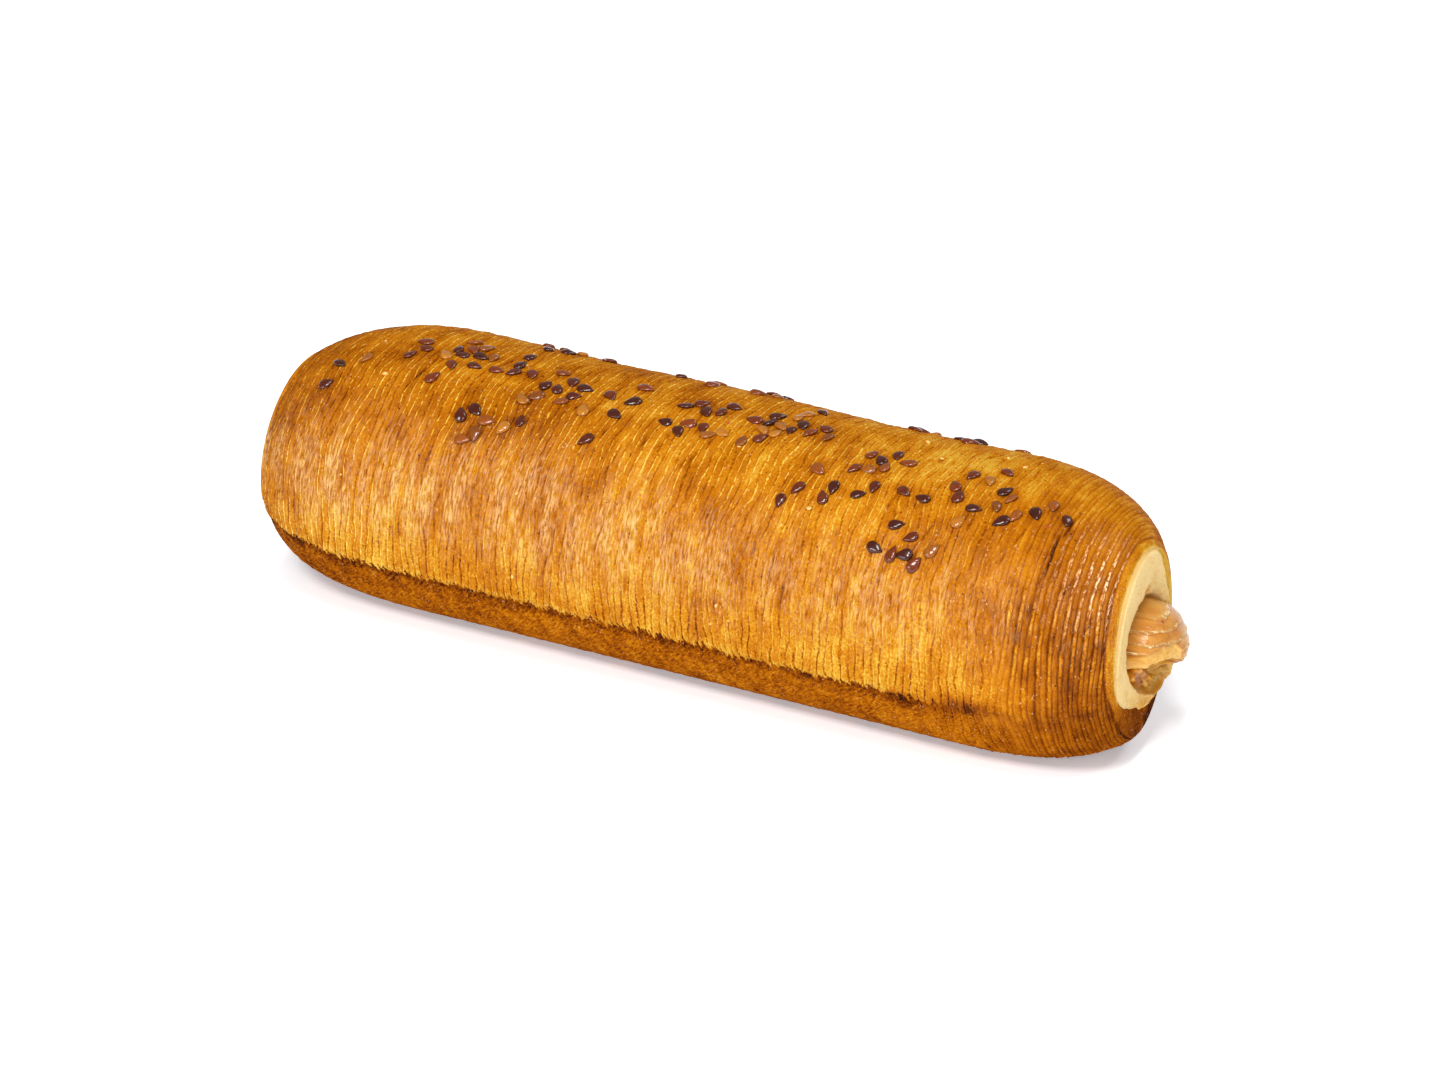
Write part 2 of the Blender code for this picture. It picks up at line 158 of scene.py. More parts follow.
# the roll's own form, in mm, as the solid under it has it
roll = {
    "length": 174.4, "width": 58.5, "height": 48.5,
    "crownPower": 2.3, "bellyZ": 20.8,
    "creaseZ": 16.0, "creaseIn": 0.6, "creaseStep": 0.8, "creaseFaded": 0.25, "creaseEnds": (46.0, 66.0),
    "underSlope": 27.0, "footHalf": 10.5,
    "domeLong": 34.0, "domeAlong": 2.8, "domeAcross": 1.5, "domeRadius": 15.0,
    "lipY": -2.5, "lipZ": 22.9, "lipHalfY": 15.4, "lipHalfZ": 17.6,
    "skew": (6.5, 1.5), "skewFrom": 20.0,
    "noseY": 1.8, "noseZ": 21.4, "noseLong": 10.2, "noseShort": 7.6, "noseTilt": -20.0, "noseOut": (7.0, 4.0),
    "crumbBulge": 3.0, "bulgeAt": -38.0, "pocketTilt": -30.0,
    "cheeseY": 0.2, "cheeseZ": 14.1, "cheeseLong": 5.0, "cheeseShort": 1.9, "cheeseBack": 0.6,
    "uneven": 0.35,
}

low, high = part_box("cheese_filling")
moved = np.array([(low[0] + high[0]) / 2 / mm, (low[1] + high[1]) / 2 / mm - roll["cheeseY"], 0.0])


def arcLength(y, z):
    return np.append(0.0, np.cumsum(np.hypot(np.diff(y), np.diff(z))))


def crownTable(steps=400):
    angle = np.linspace(math.pi / 2, 0, steps)
    half = roll["width"] / 2
    y = half * np.cos(angle) ** (2 / roll["crownPower"])
    z = roll["bellyZ"] + (roll["height"] - roll["bellyZ"]) * np.sin(angle) ** (2 / roll["crownPower"])
    down = np.linspace(0, 1, steps // 8)[1:]
    y = np.append(y, half - roll["creaseIn"] * down ** 2)
    z = np.append(z, roll["bellyZ"] + (roll["creaseZ"] - roll["bellyZ"]) * down)
    return y, z, arcLength(y, z)


def underTable(step, steps=120):
    start = np.array([roll["width"] / 2 - roll["creaseIn"] - step, roll["creaseZ"] - 0.7 * step])
    bend = np.array([start[0] - start[1] * math.tan(math.radians(roll["underSlope"])), 0.0])
    end = np.array([roll["footHalf"], 0.0])
    t = np.linspace(0, 1, steps)[:, None]
    curve = (1 - t) ** 2 * start + 2 * t * (1 - t) * bend + t ** 2 * end
    return curve[:, 0], curve[:, 1], arcLength(curve[:, 0], curve[:, 1])


crownY, crownZ, crownArc = crownTable()
underY, underZ, underArc = underTable(roll["creaseStep"])
plainY, plainZ, plainArc = underTable(roll["creaseFaded"])


def domeTable(steps=1200):
    straight = roll["length"] / 2 - roll["domeLong"]
    u = np.sin(np.linspace(0, math.pi / 2, steps)) ** 0.8
    share = np.clip(1 - u ** roll["domeAlong"], 0, 1) ** (1 / roll["domeAcross"])
    x = straight + roll["domeLong"] * u
    over = straight + arcLength(x, roll["domeRadius"] * share)
    return np.append(0.0, over), np.append(0.0, x), np.append(1.0, share)


overTable, xTable, shareTable = domeTable()
reach = float(overTable[-1])
crownEnd = float(crownArc[-1])
underEnd = float(underArc[-1])


def shear(x, y):
    far = np.clip((np.abs(x) - roll["skewFrom"]) / (roll["length"] / 2 - roll["skewFrom"]), 0, 1) ** 1.3
    degrees = np.where(x > 0, roll["skew"][0], roll["skew"][1]) * far
    return x - np.sign(x) * np.tan(np.radians(degrees)) * y


def lipAngle(y, z):
    return np.arctan2((z - roll["lipZ"]) / roll["lipHalfZ"], (y - roll["lipY"]) / roll["lipHalfY"])


def rollPoint(over, y, z):
    x = np.sign(over) * np.interp(np.abs(over), overTable, xTable)
    share = np.interp(np.abs(over), overTable, shareTable)
    angle = lipAngle(y, z)
    lipY = roll["lipY"] + roll["lipHalfY"] * np.cos(angle)
    lipZ = roll["lipZ"] + roll["lipHalfZ"] * np.sin(angle)
    y = lipY + (y - lipY) * share
    z = lipZ + (z - lipZ) * share
    return np.stack(np.broadcast_arrays(shear(x, y), y, z), axis=-1)


def crownPoint(over, across):
    y = np.sign(across) * np.interp(np.abs(across), crownArc, crownY)
    z = np.interp(np.abs(across), crownArc, crownZ)
    return rollPoint(over, y, z)


def swell(over, across):
    wave = np.sin(over / 17.0 + 0.6) * np.cos(across / 13.0 + over / 41.0)
    return roll["uneven"] * (0.6 * wave + 0.4 * np.sin(over / 9.3 - across / 21.0 + 2.1))


# makes the object of a finished mesh, a light or a camera
def newPiece(name, data):
    piece = bpy.data.objects.new(name, data)
    bpy.context.collection.objects.link(piece)
    return piece


def meshOf(name, bm):
    mesh = bpy.data.meshes.new(name)
    bm.to_mesh(mesh)
    bm.free()
    return mesh


# a flat sheet of quads; its points are then laid where the rows and columns of an array say
def laySheet(name, points, flatU, flatV, values, closed=True):
    rows, columns = points.shape[:2]
    bm = bmesh.new()
    bmesh.ops.create_grid(bm, x_segments=columns - 1, y_segments=rows - 1, size=0.5)
    mesh = meshOf(name, bm)
    flat = np.empty(len(mesh.vertices) * 3)
    mesh.vertices.foreach_get("co", flat)
    flat = flat.reshape(-1, 3)
    column = np.rint((flat[:, 0] + 0.5) * (columns - 1)).astype(int)
    row = np.rint((flat[:, 1] + 0.5) * (rows - 1)).astype(int)
    placed = (points[row, column] + moved) * mm
    mesh.vertices.foreach_set("co", placed.ravel())
    corners = np.empty(len(mesh.loops), np.int32)
    mesh.loops.foreach_get("vertex_index", corners)
    wrap = mesh.uv_layers.new(name="wrap")
    uv = np.stack([flatU[row, column], flatV[row, column]], axis=-1)[corners]
    wrap.data.foreach_set("uv", uv.astype(np.float32).ravel())
    for label, value in values.items():
        field = mesh.attributes.new(label, "FLOAT", "POINT")
        field.data.foreach_set("value", value[row, column].astype(np.float32))
    bm = bmesh.new()
    bm.from_mesh(mesh)
    edges = [v for v in bm.verts if v.is_boundary]
    bmesh.ops.remove_doubles(bm, verts=edges, dist=1e-6)
    if closed:
        bmesh.ops.holes_fill(bm, edges=[e for e in bm.edges if e.is_boundary], sides=0)
    bmesh.ops.recalc_face_normals(bm, faces=bm.faces)
    bm.to_mesh(mesh)
    bm.free()
    mesh.shade_smooth()
    return newPiece(name, mesh)


def finishPiece(piece, material, node):
    piece.data.materials.clear()
    piece.data.materials.append(material)
    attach(piece, "root")
    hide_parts(node)


# where the sesame fell: the same draws as in the solid
sesame = {
    "long": 3.3, "wide": 2.0, "thick": 1.0, "rise": 0.22, "spacing": 2.4,
    "scatter": 0.6, "sizes": (0.88, 1.08), "amberShare": 0.22,
    "handfuls": (
        (-73, 12, 3, 6, 3), (-54, 2, 8, 6, 19), (-40, 18, 5, 3, 6), (-31, 6, 6, 7, 10),
        (-18, 8, 5, 8, 6), (0, 6, 7, 7, 12), (14, 1, 6, 5, 15), (26, 18, 5, 4, 4),
        (36, 7, 6, 7, 11), (48, 24, 7, 3, 7), (59, 9, 8, 8, 16), (-44, -16, 12, 4, 6),
        (-4, -16, 14, 4, 7), (40, -16, 16, 4, 7),
    ),
}


def seedPlaces():
    draw = random.Random(11)
    places = []
    for x, down, spreadX, spreadAcross, count in sesame["handfuls"]:
        tries = 0
        placed = 0
        while placed < count and tries < 40 * count:
            tries += 1
            over = x + draw.gauss(0, sesame["scatter"]) * spreadX
            across = -down + draw.gauss(0, sesame["scatter"]) * spreadAcross
            turn = draw.uniform(0, 2 * math.pi)
            size = draw.uniform(*sesame["sizes"])
            if all(math.hypot(over - a, across - b) > sesame["spacing"] for a, b, _, _ in places):
                places.append((over, across, turn, size))
                placed += 1
    return places


seeds = seedPlaces()
print("form and seed places ready:", len(seeds), "seeds")


# the crust: one skin of dough round the roll, ridged by the edges of its layers
crust = {
    "rowStep": 0.18,                   # mm along the roll, about eight rows to a fine ridge
    "crownColumns": 36, "underColumns": 7, "footColumns": 3,
    "finePitch": 1.46, "fineHigh": 0.20, "fineGroove": 0.22,
    "fineWander": ((0.80, 9, 11, 1), (0.36, 2.3, 4.2, 2), (0.16, 0.9, 1.6, 14)),
    "boldPitch": 2.15, "boldHigh": 0.36, "boldFrom": 60.0, "boldTo": 76.0, "boldGroove": 0.27,
    "boldWander": ((0.50, 9, 13, 7), (0.13, 2, 3.5, 18), (0.09, 0.9, 1.0, 8)),
    "fringe": 0.45,                    # how ragged the turn's edge is over the crease
    "cracks": 120, "crackDeep": 0.70, "crackWide": 0.24,
    "longCracks": ((75.5, -1.0, 27.0, 0.10, 0.9), (67.5, -13.0, 9.0, 0.2, 0.7), (51.5, -17.0, 11.0, 0.14, 0.8),
                   (25.0, -26.0, 12.0, 0.1, 0.6), (-33.0, -4.0, 10.0, 0.12, 0.6), (-57.0, -2.0, 14.0, 0.1, 0.8),
                   (-66.0, -4.0, 8.0, 0.15, 0.7), (80.0, -19.0, 7.0, 0.3, 0.6), (-12.0, -16.0, 9.0, 0.1, 0.5)),
    "lastTurn": ((-70, 0.5), (-60, 1.2), (-50, 2.2), (-40, 2.6), (60, 2.6), (70, 0.5)),      # across, mm
    # how thick the lip is by the angle round it: thin towards the front, thick below and at the back
    "rim": ((-180, 0.2), (-165, 0.5), (-150, 3.0), (-140, 4.6), (-125, 6.0), (-110, 6.6), (-95, 6.6),
            (-75, 4.6), (-60, 2.8), (-45, 1.8), (-30, 1.3), (-10, 1.8), (5, 3.2), (20, 3.2), (30, 2.4),
            (40, 1.3), (50, 0.7), (65, 0.3), (180, 0.2)),
    # the lip's section: how far in, as a share of its thickness, and how far out past the end, mm
    "lip": ((0.15, 0.22), (0.38, 0.34), (0.62, 0.26), (0.80, 0.0), (0.88, -0.5), (0.95, -2.0), (1.1, -5.0),
            (1.3, -8.0), (5.0, -8.0)),
    # how far the bare crumb shows past the lip, by the way across the crust
    "pared": ((-52, 0.0), (-47, 1.1), (-34, 1.6), (-20, 2.0), (-8, 1.7), (2, 0.9), (9, 0.0)),
}

# how far the crust is baked, from 0, raw, to 1, burnt; a spot is over, across, its reach both ways, and how much
baking = {
    "side": 0.575, "crown": -0.066, "crownReach": 22.0, "pale": -0.10, "nearEnd": 0.04, "nearRibs": 0.10,
    "slopes": ((56, 80, 0.05), (-58, -86, 0.08)),        # from, to, mm along the roll, and how much
    "spots": ((55, 2, 45, 16, -0.06), (24, 0, 18, 12, 0.03), (-30, -14, 9, 6, 0.08), (8, 2, 10, 5, 0.06),
              (56, -12, 10, 7, 0.08)),
    "sideNoise": ((0.04, 17, 12, 21), (0.05, 6, 7, 22), (0.05, 1.9, 9, 23)),
    "belly": 0.65, "bellyNoise": ((0.04, 9, 6, 26), (0.06, 1.6, 1.6, 27)),
    "seedShadow": 0.08, "seedReach": 2.0,                 # a painted shadow ring round each seed
    "turned": 0.50,
    "burnt": ((50.0, 51.5, 3.5, 1.4, 0.30), (62.0, 50.5, 5.0, 1.6, 0.36),
              (93.0, 74.0, 2.2, 11.0, 0.20), (93.0, -88.0, 2.2, 18.0, 0.30)),
}


def halfStations():
    t = np.linspace(0, 1, crust["crownColumns"])
    crown = crownEnd * (1 - (1 - t) ** 1.12)
    under = np.linspace(0, 1, crust["underColumns"]) ** 1.35
    foot = np.linspace(1, 0, crust["footColumns"] + 1)[1:]
    kinds = np.concatenate([np.zeros(len(crown)), np.ones(len(under)), np.full(len(foot), 2.0)])
    return kinds, np.concatenate([crown, under, foot])


# one point of the section for each column: front half negative, back half positive
def sectionAt(kinds, values, creased):
    crown = np.clip(values, 0, crownEnd)
    low = np.clip(values, 0, 1)
    lowY = (np.interp(low * underEnd, underArc, underY) * creased
            + np.interp(low * plainArc[-1], plainArc, plainY) * (1 - creased))
    lowZ = (np.interp(low * underEnd, underArc, underZ) * creased
            + np.interp(low * plainArc[-1], plainArc, plainZ) * (1 - creased))
    y = np.where(kinds == 0, np.interp(crown, crownArc, crownY), np.where(kinds == 1, lowY, roll["footHalf"] * low))
    z = np.where(kinds == 0, np.interp(crown, crownArc, crownZ), np.where(kinds == 1, lowZ, 0.0))
    return y, z


def crackHollow(over, across):
    draw = random.Random(5)
    marks = list(crust["longCracks"])
    for number in range(crust["cracks"]):
        front = draw.random() < 0.6
        middle = draw.uniform(-42, 6) if front else draw.uniform(0, 42)
        place = draw.uniform(-84, 88)
        marks.append((place, middle, draw.uniform(1.5, 7.0), draw.uniform(0.05, 0.25), draw.uniform(0.2, 0.75)))
    hollow = np.zeros(np.broadcast(over, across).shape)
    for number, (place, start, long, lean, deep) in enumerate(marks):
        away = start - across                      # runs on towards the front
        inside = (away > -1) & (away < long + 1)
        path = place - lean * away + 0.28 * softNoise(away / 1.4, number * 3.1, 31)
        path = path + 0.5 * softNoise(away / 5, number * 1.7, 32)
        taper = fade(away, -0.5, 0.25 * long) * (1 - fade(away, 0.7 * long, long + 0.5))
        ragged = np.clip(0.75 + 0.8 * softNoise(away / 0.9, number * 2.3, 33), 0, 1)
        cut = np.exp(-((over - path) / crust["crackWide"]) ** 2) * taper * ragged * deep
        hollow = np.maximum(hollow, np.where(inside, cut, 0.0))
    return np.clip(hollow, 0, 1)


# which ridge a point is on, and how far along the roll it is from the groove that starts it
def ridgeAt(along, pitch):
    cell = along / pitch
    number = np.floor(cell + 0.5)
    return number, (cell - number) * pitch


def rimShare(angle):
    return np.interp(np.degrees(angle), *np.transpose(crust["rim"]))


# how far along the roll the last turn ends, and how wide it is
def turnEnd(across):
    return reach - np.interp(across, *np.transpose(crust["pared"]))


def turnWide(across):
    return np.interp(across, *np.transpose(crust["lastTurn"]))


def crustRelief(over, across, under, creased):
    wander = layNoise(over, across, crust["fineWander"])
    number, away = ridgeAt(over + wander, crust["finePitch"])
    groove = np.exp(-((away + 0.10) / crust["fineGroove"]) ** 2)
    edge = np.exp(-((away - 0.20) / 0.17) ** 2)                  # each layer starts with a thin raised lip
    depth = 0.70 + 0.75 * softNoise(number * 5.3, across / 7.5, 3) + 0.35 * softNoise(over / 12, across / 11, 4)
    depth = np.clip(depth * (1 + 0.5 * softNoise(number * 2.1, across / 1.5, 15)), 0.04, 1.6)
    raised = np.clip(0.50 + 1.1 * softNoise(number * 3.9, across / 5.0, 22), 0, 1.5)
    raised = raised * (1 + 0.6 * softNoise(number * 1.3, across / 0.9, 24))
    slope = away / crust["finePitch"]
    beads = softNoise(over / 0.6, across / 1.4, 16)
    fine = crust["fineHigh"] * (0.2 - 0.9 * groove * depth + 0.60 * edge * raised - 0.4 * slope + 0.35 * beads)
    broad = 0.10 * softNoise((over + wander) / 2.3, across / 11, 6) + 0.05 * softNoise(over / 1.3, across / 2.4, 17)
    nearCrown = np.exp(-((across + 2) / 15.0) ** 2)
    fine = (fine + broad) * (1 - 0.50 * nearCrown)

    right = fade(over + 0.10 * (across + 30) * (across < 0), crust["boldFrom"], crust["boldTo"])
    ribWander = layNoise(over, across, crust["boldWander"])
    rib, start = ridgeAt(over + ribWander, crust["boldPitch"])
    cut = np.exp(-(start / crust["boldGroove"]) ** 2)
    brow = np.exp(-((start - 0.52) / 0.26) ** 2)
    bold = np.clip(0.85 + 0.55 * softNoise(rib * 3.7, across / 8, 9), 0.15, 1.3)
    bold = bold * (1 + 0.35 * softNoise(rib * 1.9, across / 1.6, 19)) * (1 - 0.66 * nearCrown)
    lobed = 0.18 - 0.62 * cut + 0.22 * brow + 0.20 * softNoise(over / 0.8, across / 1.6, 20)
    farEnd = 0.4 * fade(-over, 60.0, 80.0)
    relief = fine * (1 - 0.75 * right + farEnd) + crust["boldHigh"] * lobed * bold * right
    # under the crease the skin is pressed flatter, and its lines lean over
    lean = softNoise((over + 0.9 * across) / 0.9, (across - 0.9 * over) / 6, 12)
    flat = 0.04 * lean + 0.07 * softNoise(over / 0.8, across / 1.2, 13)
    pressed = under * np.clip(creased + 0.12, 0, 1)
    relief = relief * (1 - pressed) + flat * pressed
    return relief, pressed, {"layer": over + wander, "rib": over + ribWander, "right": right * np.clip(bold, 0.7, 1)}


# where the wash dried into a skin of tiny blisters, lightened by a painted sheen: a band low on the sides
def blisterSheenAt(over, across, under):
    band = spot(0 * over, np.abs(across), 0, 33 + 3 * softNoise(over / 14, 0 * across, 45), 9, 9)
    patchy = np.clip(0.9 + 0.35 * softNoise(over / 14, across / 7, 46), 0, 1.2)
    streaky = np.clip(0.8 + 0.8 * softNoise(over / 1.6, across / 9, 47), 0, 1.3)
    right = 0.45 * fade(over, -5, 25) + 0.4 * fade(over, 60, 76)
    return np.clip((band * (1 - right) + 0.02) * patchy * streaky * (1 - 0.6 * under), 0, 1)


def crustBakeAndShade(over, across, creased):
    size = np.abs(across)
    crownShare = np.exp(-(across / baking["crownReach"]) ** 2)
    side = baking["side"] + baking["crown"] * crownShare + layNoise(over, across, baking["sideNoise"])
    side = side + baking["pale"] * fade(size, 30, 46) * (1 - 0.75 * fade(over, 64, 82))     # palest over the crease
    side = side + 0.06 * fade(-over, 0, 50) * crownShare + baking["nearRibs"] * fade(over, 66, 84) * fade(size, 30, 46)
    side = side + (baking["nearEnd"] - 0.01 * np.exp(-(across / 18.0) ** 2)) * fade(over, 62, 76)
    for start, end, much in baking["slopes"]:
        side = side + much * fade(over, start, end)
    for place, depth, long, wide, much in baking["spots"]:
        side = side + much * spot(over, across, place, depth, long, wide)
    # a painted shadow ring round each seed
    for place, depth, _, _ in seeds:
        side = side + baking["seedShadow"] * spot(over, across, place, depth, baking["seedReach"], baking["seedReach"])
    belly = baking["belly"] + 0.06 * fade(-over, 30, 80) + layNoise(over, across, baking["bellyNoise"])
    # painted shade just below the crease, under the overhang
    shade = np.exp(-((size - crownEnd - 1.0) / 1.9) ** 2) * creased
    belly = belly + 0.06 * shade * (1 + 0.7 * softNoise(over / 3, 0 * across, 28)) + 0.06 * fade(over, 60, 80)
    # the last turn before the lip is smooth and lighter, with a thin pale edge, and a painted shade line in the groove
    # where the last turn starts
    short = turnEnd(across) - np.abs(over)
    wide = turnWide(across)
    rim = fade(wide - short, 0, 0.5)
    turned = baking["turned"] + 0.07 * softNoise(over / 9, across / 4, 30) + 0.12 * fade(size, 48, 60)
    gapShade = 0.12 * np.exp(-((short - wide) / 0.3) ** 2) * (1 - 0.8 * fade(across, -22, -12))
    pale = 0.18 * fade(-short, -0.7, 0.0) * (1 - fade(size, 40, 54))
    side = side * (1 - rim) + turned * rim + gapShade - pale
    belly = belly * (1 - rim) + turned * rim + gapShade
    # burnt patches where the overhang fades out, and on the lower rim
    patchy = np.clip(0.85 + 0.5 * softNoise(over / 1.3, across / 5.0, 29), 0.3, 1.3)
    for place, depth, wide, tall, much in baking["burnt"]:
        burn = much * spot(over, -across, place, depth, wide, tall) * patchy
        side, belly = side + burn, belly + burn
    # where the crease has faded the browning comes on slowly down the side
    slow = (1 - creased ** 0.5) * 0.8 * fade(size, crownEnd - 5, crownEnd + 9)
    return np.clip(side, 0, 1), np.clip(belly, 0, 1), slow


def buildCrust():
    kinds, values = halfStations()
    kinds = np.concatenate([kinds[::-1], kinds[1:]])                 # from the foot up the front and down the back
    side = np.concatenate([-np.ones(len(values)), np.ones(len(values) - 1)])
    values = np.concatenate([values[::-1], values[1:]])
    acrossOf = np.where(kinds == 0, values, np.where(kinds == 1, crownEnd + values * underEnd,
                                                     crownEnd + underEnd + roll["footHalf"] * (1 - values)))
    across = (side * acrossOf)[None, :]
    rows = int(round(2 * reach / crust["rowStep"])) + 1
    over = np.linspace(-reach, reach, rows)[:, None]
    creased = np.clip((roll["creaseEnds"][1] - over) / (roll["creaseEnds"][1] - roll["creaseEnds"][0]), 0, 1)
    under = np.where(kinds >= 1, 1.0, 0.0)[None, :] + 0 * over

    def bareSkin(offset):
        shifted = values + offset * np.where(kinds == 0, 1.0, np.where(kinds == 1, 1 / underEnd, -1 / roll["footHalf"]))
        y, z = sectionAt(kinds[None, :], shifted[None, :], creased)
        return rollPoint(over, y * side[None, :], z)

    bare = bareSkin(0.0)
    around = bareSkin(0.3) - bareSkin(-0.3)
    crownColumn = len(values) // 2
    around[:, crownColumn] = bare[:, crownColumn + 1] - bare[:, crownColumn - 1]
    middle = (kinds == 2) & (values < 1e-6)
    around[:, middle] = np.array([0.0, -1.0, 0.0])
    along = np.gradient(bare, axis=0)
    normal = np.cross(around, along)
    normal /= np.maximum(np.linalg.norm(normal, axis=2, keepdims=True), 1e-9)
    normal *= np.where(np.sum(normal * (bare - [0, 0, roll["bellyZ"]]), axis=2, keepdims=True) < 0, -1.0, 1.0)

    relief, pressed, lines = crustRelief(over, across, under, creased)
    blisterSheen = blisterSheenAt(over, across, under)
    cracks = crackHollow(over, across)
    sway = np.where(kinds[None, :] == 0, swell(over, across), 0.0)
    short = turnEnd(across) - np.abs(over)
    wide = turnWide(across)
    lipEase = np.clip((short - wide + 0.5) / 0.6, 0, 1)
    seam = np.exp(-((short - wide) / 0.25) ** 2) * np.clip(wide / 2.6, 0, 1)
    rise = sway * np.clip((reach - np.abs(over)) / 2, 0, 1) + (relief - crust["crackDeep"] * cracks) * lipEase
    pared = fade(-short, 0.0, 0.25)
    rise = rise - 0.35 * seam + 0.24 * np.clip((wide - short) / 0.8, 0, 1) * (1 - pared) - 0.12 * pared
    standing = (bare[:, :, 2] < 0.4) & (under > 0.5)
    rise = np.where(standing, 0.0, rise)
    skin = bare + normal * rise[:, :, None]
    # the turn's edge hangs over the crease like a fringe
    ragged = crust["fringe"] * (0.7 * softNoise(over / 2.1, 3.0, 41) + 0.6 * softNoise(over / 0.75, 9.0, 42))
    hang = fade(np.abs(across), crownEnd - 2.6, crownEnd) * (kinds[None, :] == 0)
    tuck = (kinds[None, :] == 1) * (1 - fade(values[None, :], 0.0, 0.22))
    skin[:, :, 2] += ragged * creased * (hang + 0.6 * tuck)
    skin[:, :, 2] = np.maximum(skin[:, :, 2], 0.0)

    plain = np.clip((wide - short) / 0.3, 0, 1)         # the last turn has no lines on it
    # where the wash is thicker, and where glints are painted on the rib edges beside the lip
    glossAndGlints = spot(over, across, 86, -18, 8, 10) + 0.5 * spot(over, across, -50, -32, 22, 7)
    sideTone, bellyTone, slow = crustBakeAndShade(over, across, creased)

    # at each end the skin turns in over a rounded lip, thicker at the back, round a recess for the crumb
    def recess(ring, end):
        angle = lipAngle(ring[:, 1], ring[:, 2])
        thick = rimShare(angle)
        turned = []
        for inset, out in crust["lip"]:
            y = roll["lipY"] + (roll["lipHalfY"] - inset * thick) * np.cos(angle)
            z = roll["lipZ"] + (roll["lipHalfZ"] - inset * thick) * np.sin(angle)
            bead = out * np.clip(thick - 0.2, 0, 1) if out > 0 else out * np.clip(thick, 0.4, 1)
            turned.append(np.stack([shear(end * roll["length"] / 2 + 0 * y, y) + end * bead, y, z], axis=-1))
        return np.array(turned)

    leftEnd = recess(skin[0], -1)[::-1]
    rightEnd = recess(skin[-1], 1)
    points = np.concatenate([leftEnd, skin, rightEnd])
    extra = len(rightEnd)

    # how far each row of the recess lies from the skin's last row, so the pattern isn't stretched over the lip
    def walked(rows):
        return np.cumsum(np.linalg.norm(np.diff(rows, axis=0), axis=2), axis=0)

    past = walked(points[-extra - 1:])
    before = walked(points[:extra + 1][::-1])[::-1]

    def padded(field, before=0.0, past=0.0):
        first = np.repeat(field[:1], extra, axis=0) - before
        last = np.repeat(field[-1:], extra, axis=0) + past
        return np.concatenate([first, field, last])

    fields = {"side": sideTone, "belly": bellyTone, "slow": slow, "cracks": cracks, "creased": creased + 0 * across,
              "blisterSheen": blisterSheen, "plain": np.maximum(plain, pressed), "pared": pared,
              "glossAndGlints": np.clip(glossAndGlints, 0, 1), **lines}
    return laySheet("bakedCrust", points, padded(over + 0 * across, before, past), padded(across + 0 * over),
                    {label: padded(field) for label, field in fields.items()})


crustPiece = buildCrust()
print("crust laid:", len(crustPiece.data.polygons), "faces")


# the two ends: a ring of crumb, the end of the inner coil, and the pocket under it
crumb = {
    "columns": 200, "ringRows": 56, "noseRows": 84,
    "inset": 0.66,
    "ringPlaces": (0.0, 0.05, 0.16, 0.5, 0.82, 0.91, 0.96, 1.0),
    "ringHeights": (-0.45, -0.15, 0.0, -0.5, -0.8, -1.1, -1.9, -2.6),
    "ringSwell": (0.0, 0.05, 0.3, 1.0, 1.0, 1.0, 0.9, 0.8),
    "noseBlunt": 0.25, "layerPitch": 2.05, "layerHigh": 0.22, "layerFrom": 22.6,
    "browned": ((-9, 22.0), (-7.9, 22.5), (-4.7, 24.0), (-1.6, 24.2), (-0.6, 22.5), (0.5, 19.5), (6, 15.5), (9, 14.0)),
    # a burst bubble on the nose: its middle and reach, how much lower it is at the far end, and how deep
    "hole": (1.8, 30.9, 1.1, 0.66), "holeLower": 3.0, "holeDeep": 1.5,
    "mouthY": -0.2, "mouthZ": 15.7, "mouthLong": 7.9, "mouthShort": 3.8,
    # the pocket's section: its rim is at 1, and how deep it is there, mm
    "pocketRim": (0.3, 0.6, 0.84, 0.96, 1.02, 1.10, 1.14), "pocketDeep": (7.0, 5.5, 3.0, 0.8, -1.2, -8.0, -30.0),
    # the hidden back of the crumb: how far out from its middle, and how deep
    "back": ((0.02, 7.0), (0.5, 7.0), (0.97, 7.0), (0.985, 3.5), (1.0, 1.4), (1.0, 0.8)),
    "edgeSpots": ((-3.4, 10.8, 2.6, 1.4, 0.16), (4.0, 9.5, 4.0, 2.0, 0.10)),     # browner crumb low in the mouth
    # painted shade below the nose's lower edge, and where the cheese smear lies
    "shadeUnderNose": (2.4, 15.4, 4.2, 1.4), "cheeseSmear": (5.2, 12.3, 5.2, 2.6),
}


def ellipseAt(middle, long, short, tilt, angles):
    turn = math.radians(tilt)
    along, across = long * np.cos(angles), short * np.sin(angles)
    return (middle[0] + along * math.cos(turn) - across * math.sin(turn),
            middle[1] + along * math.sin(turn) + across * math.cos(turn))


# 1 on the pocket's rim, less inside
def pocketShare(y, z):
    turn = math.radians(roll["pocketTilt"])
    dy, dz = y - crumb["mouthY"], z - crumb["mouthZ"]
    along = dy * math.cos(turn) + dz * math.sin(turn)
    across = -dy * math.sin(turn) + dz * math.cos(turn)
    return np.hypot(along / crumb["mouthLong"], across / crumb["mouthShort"]), along, across


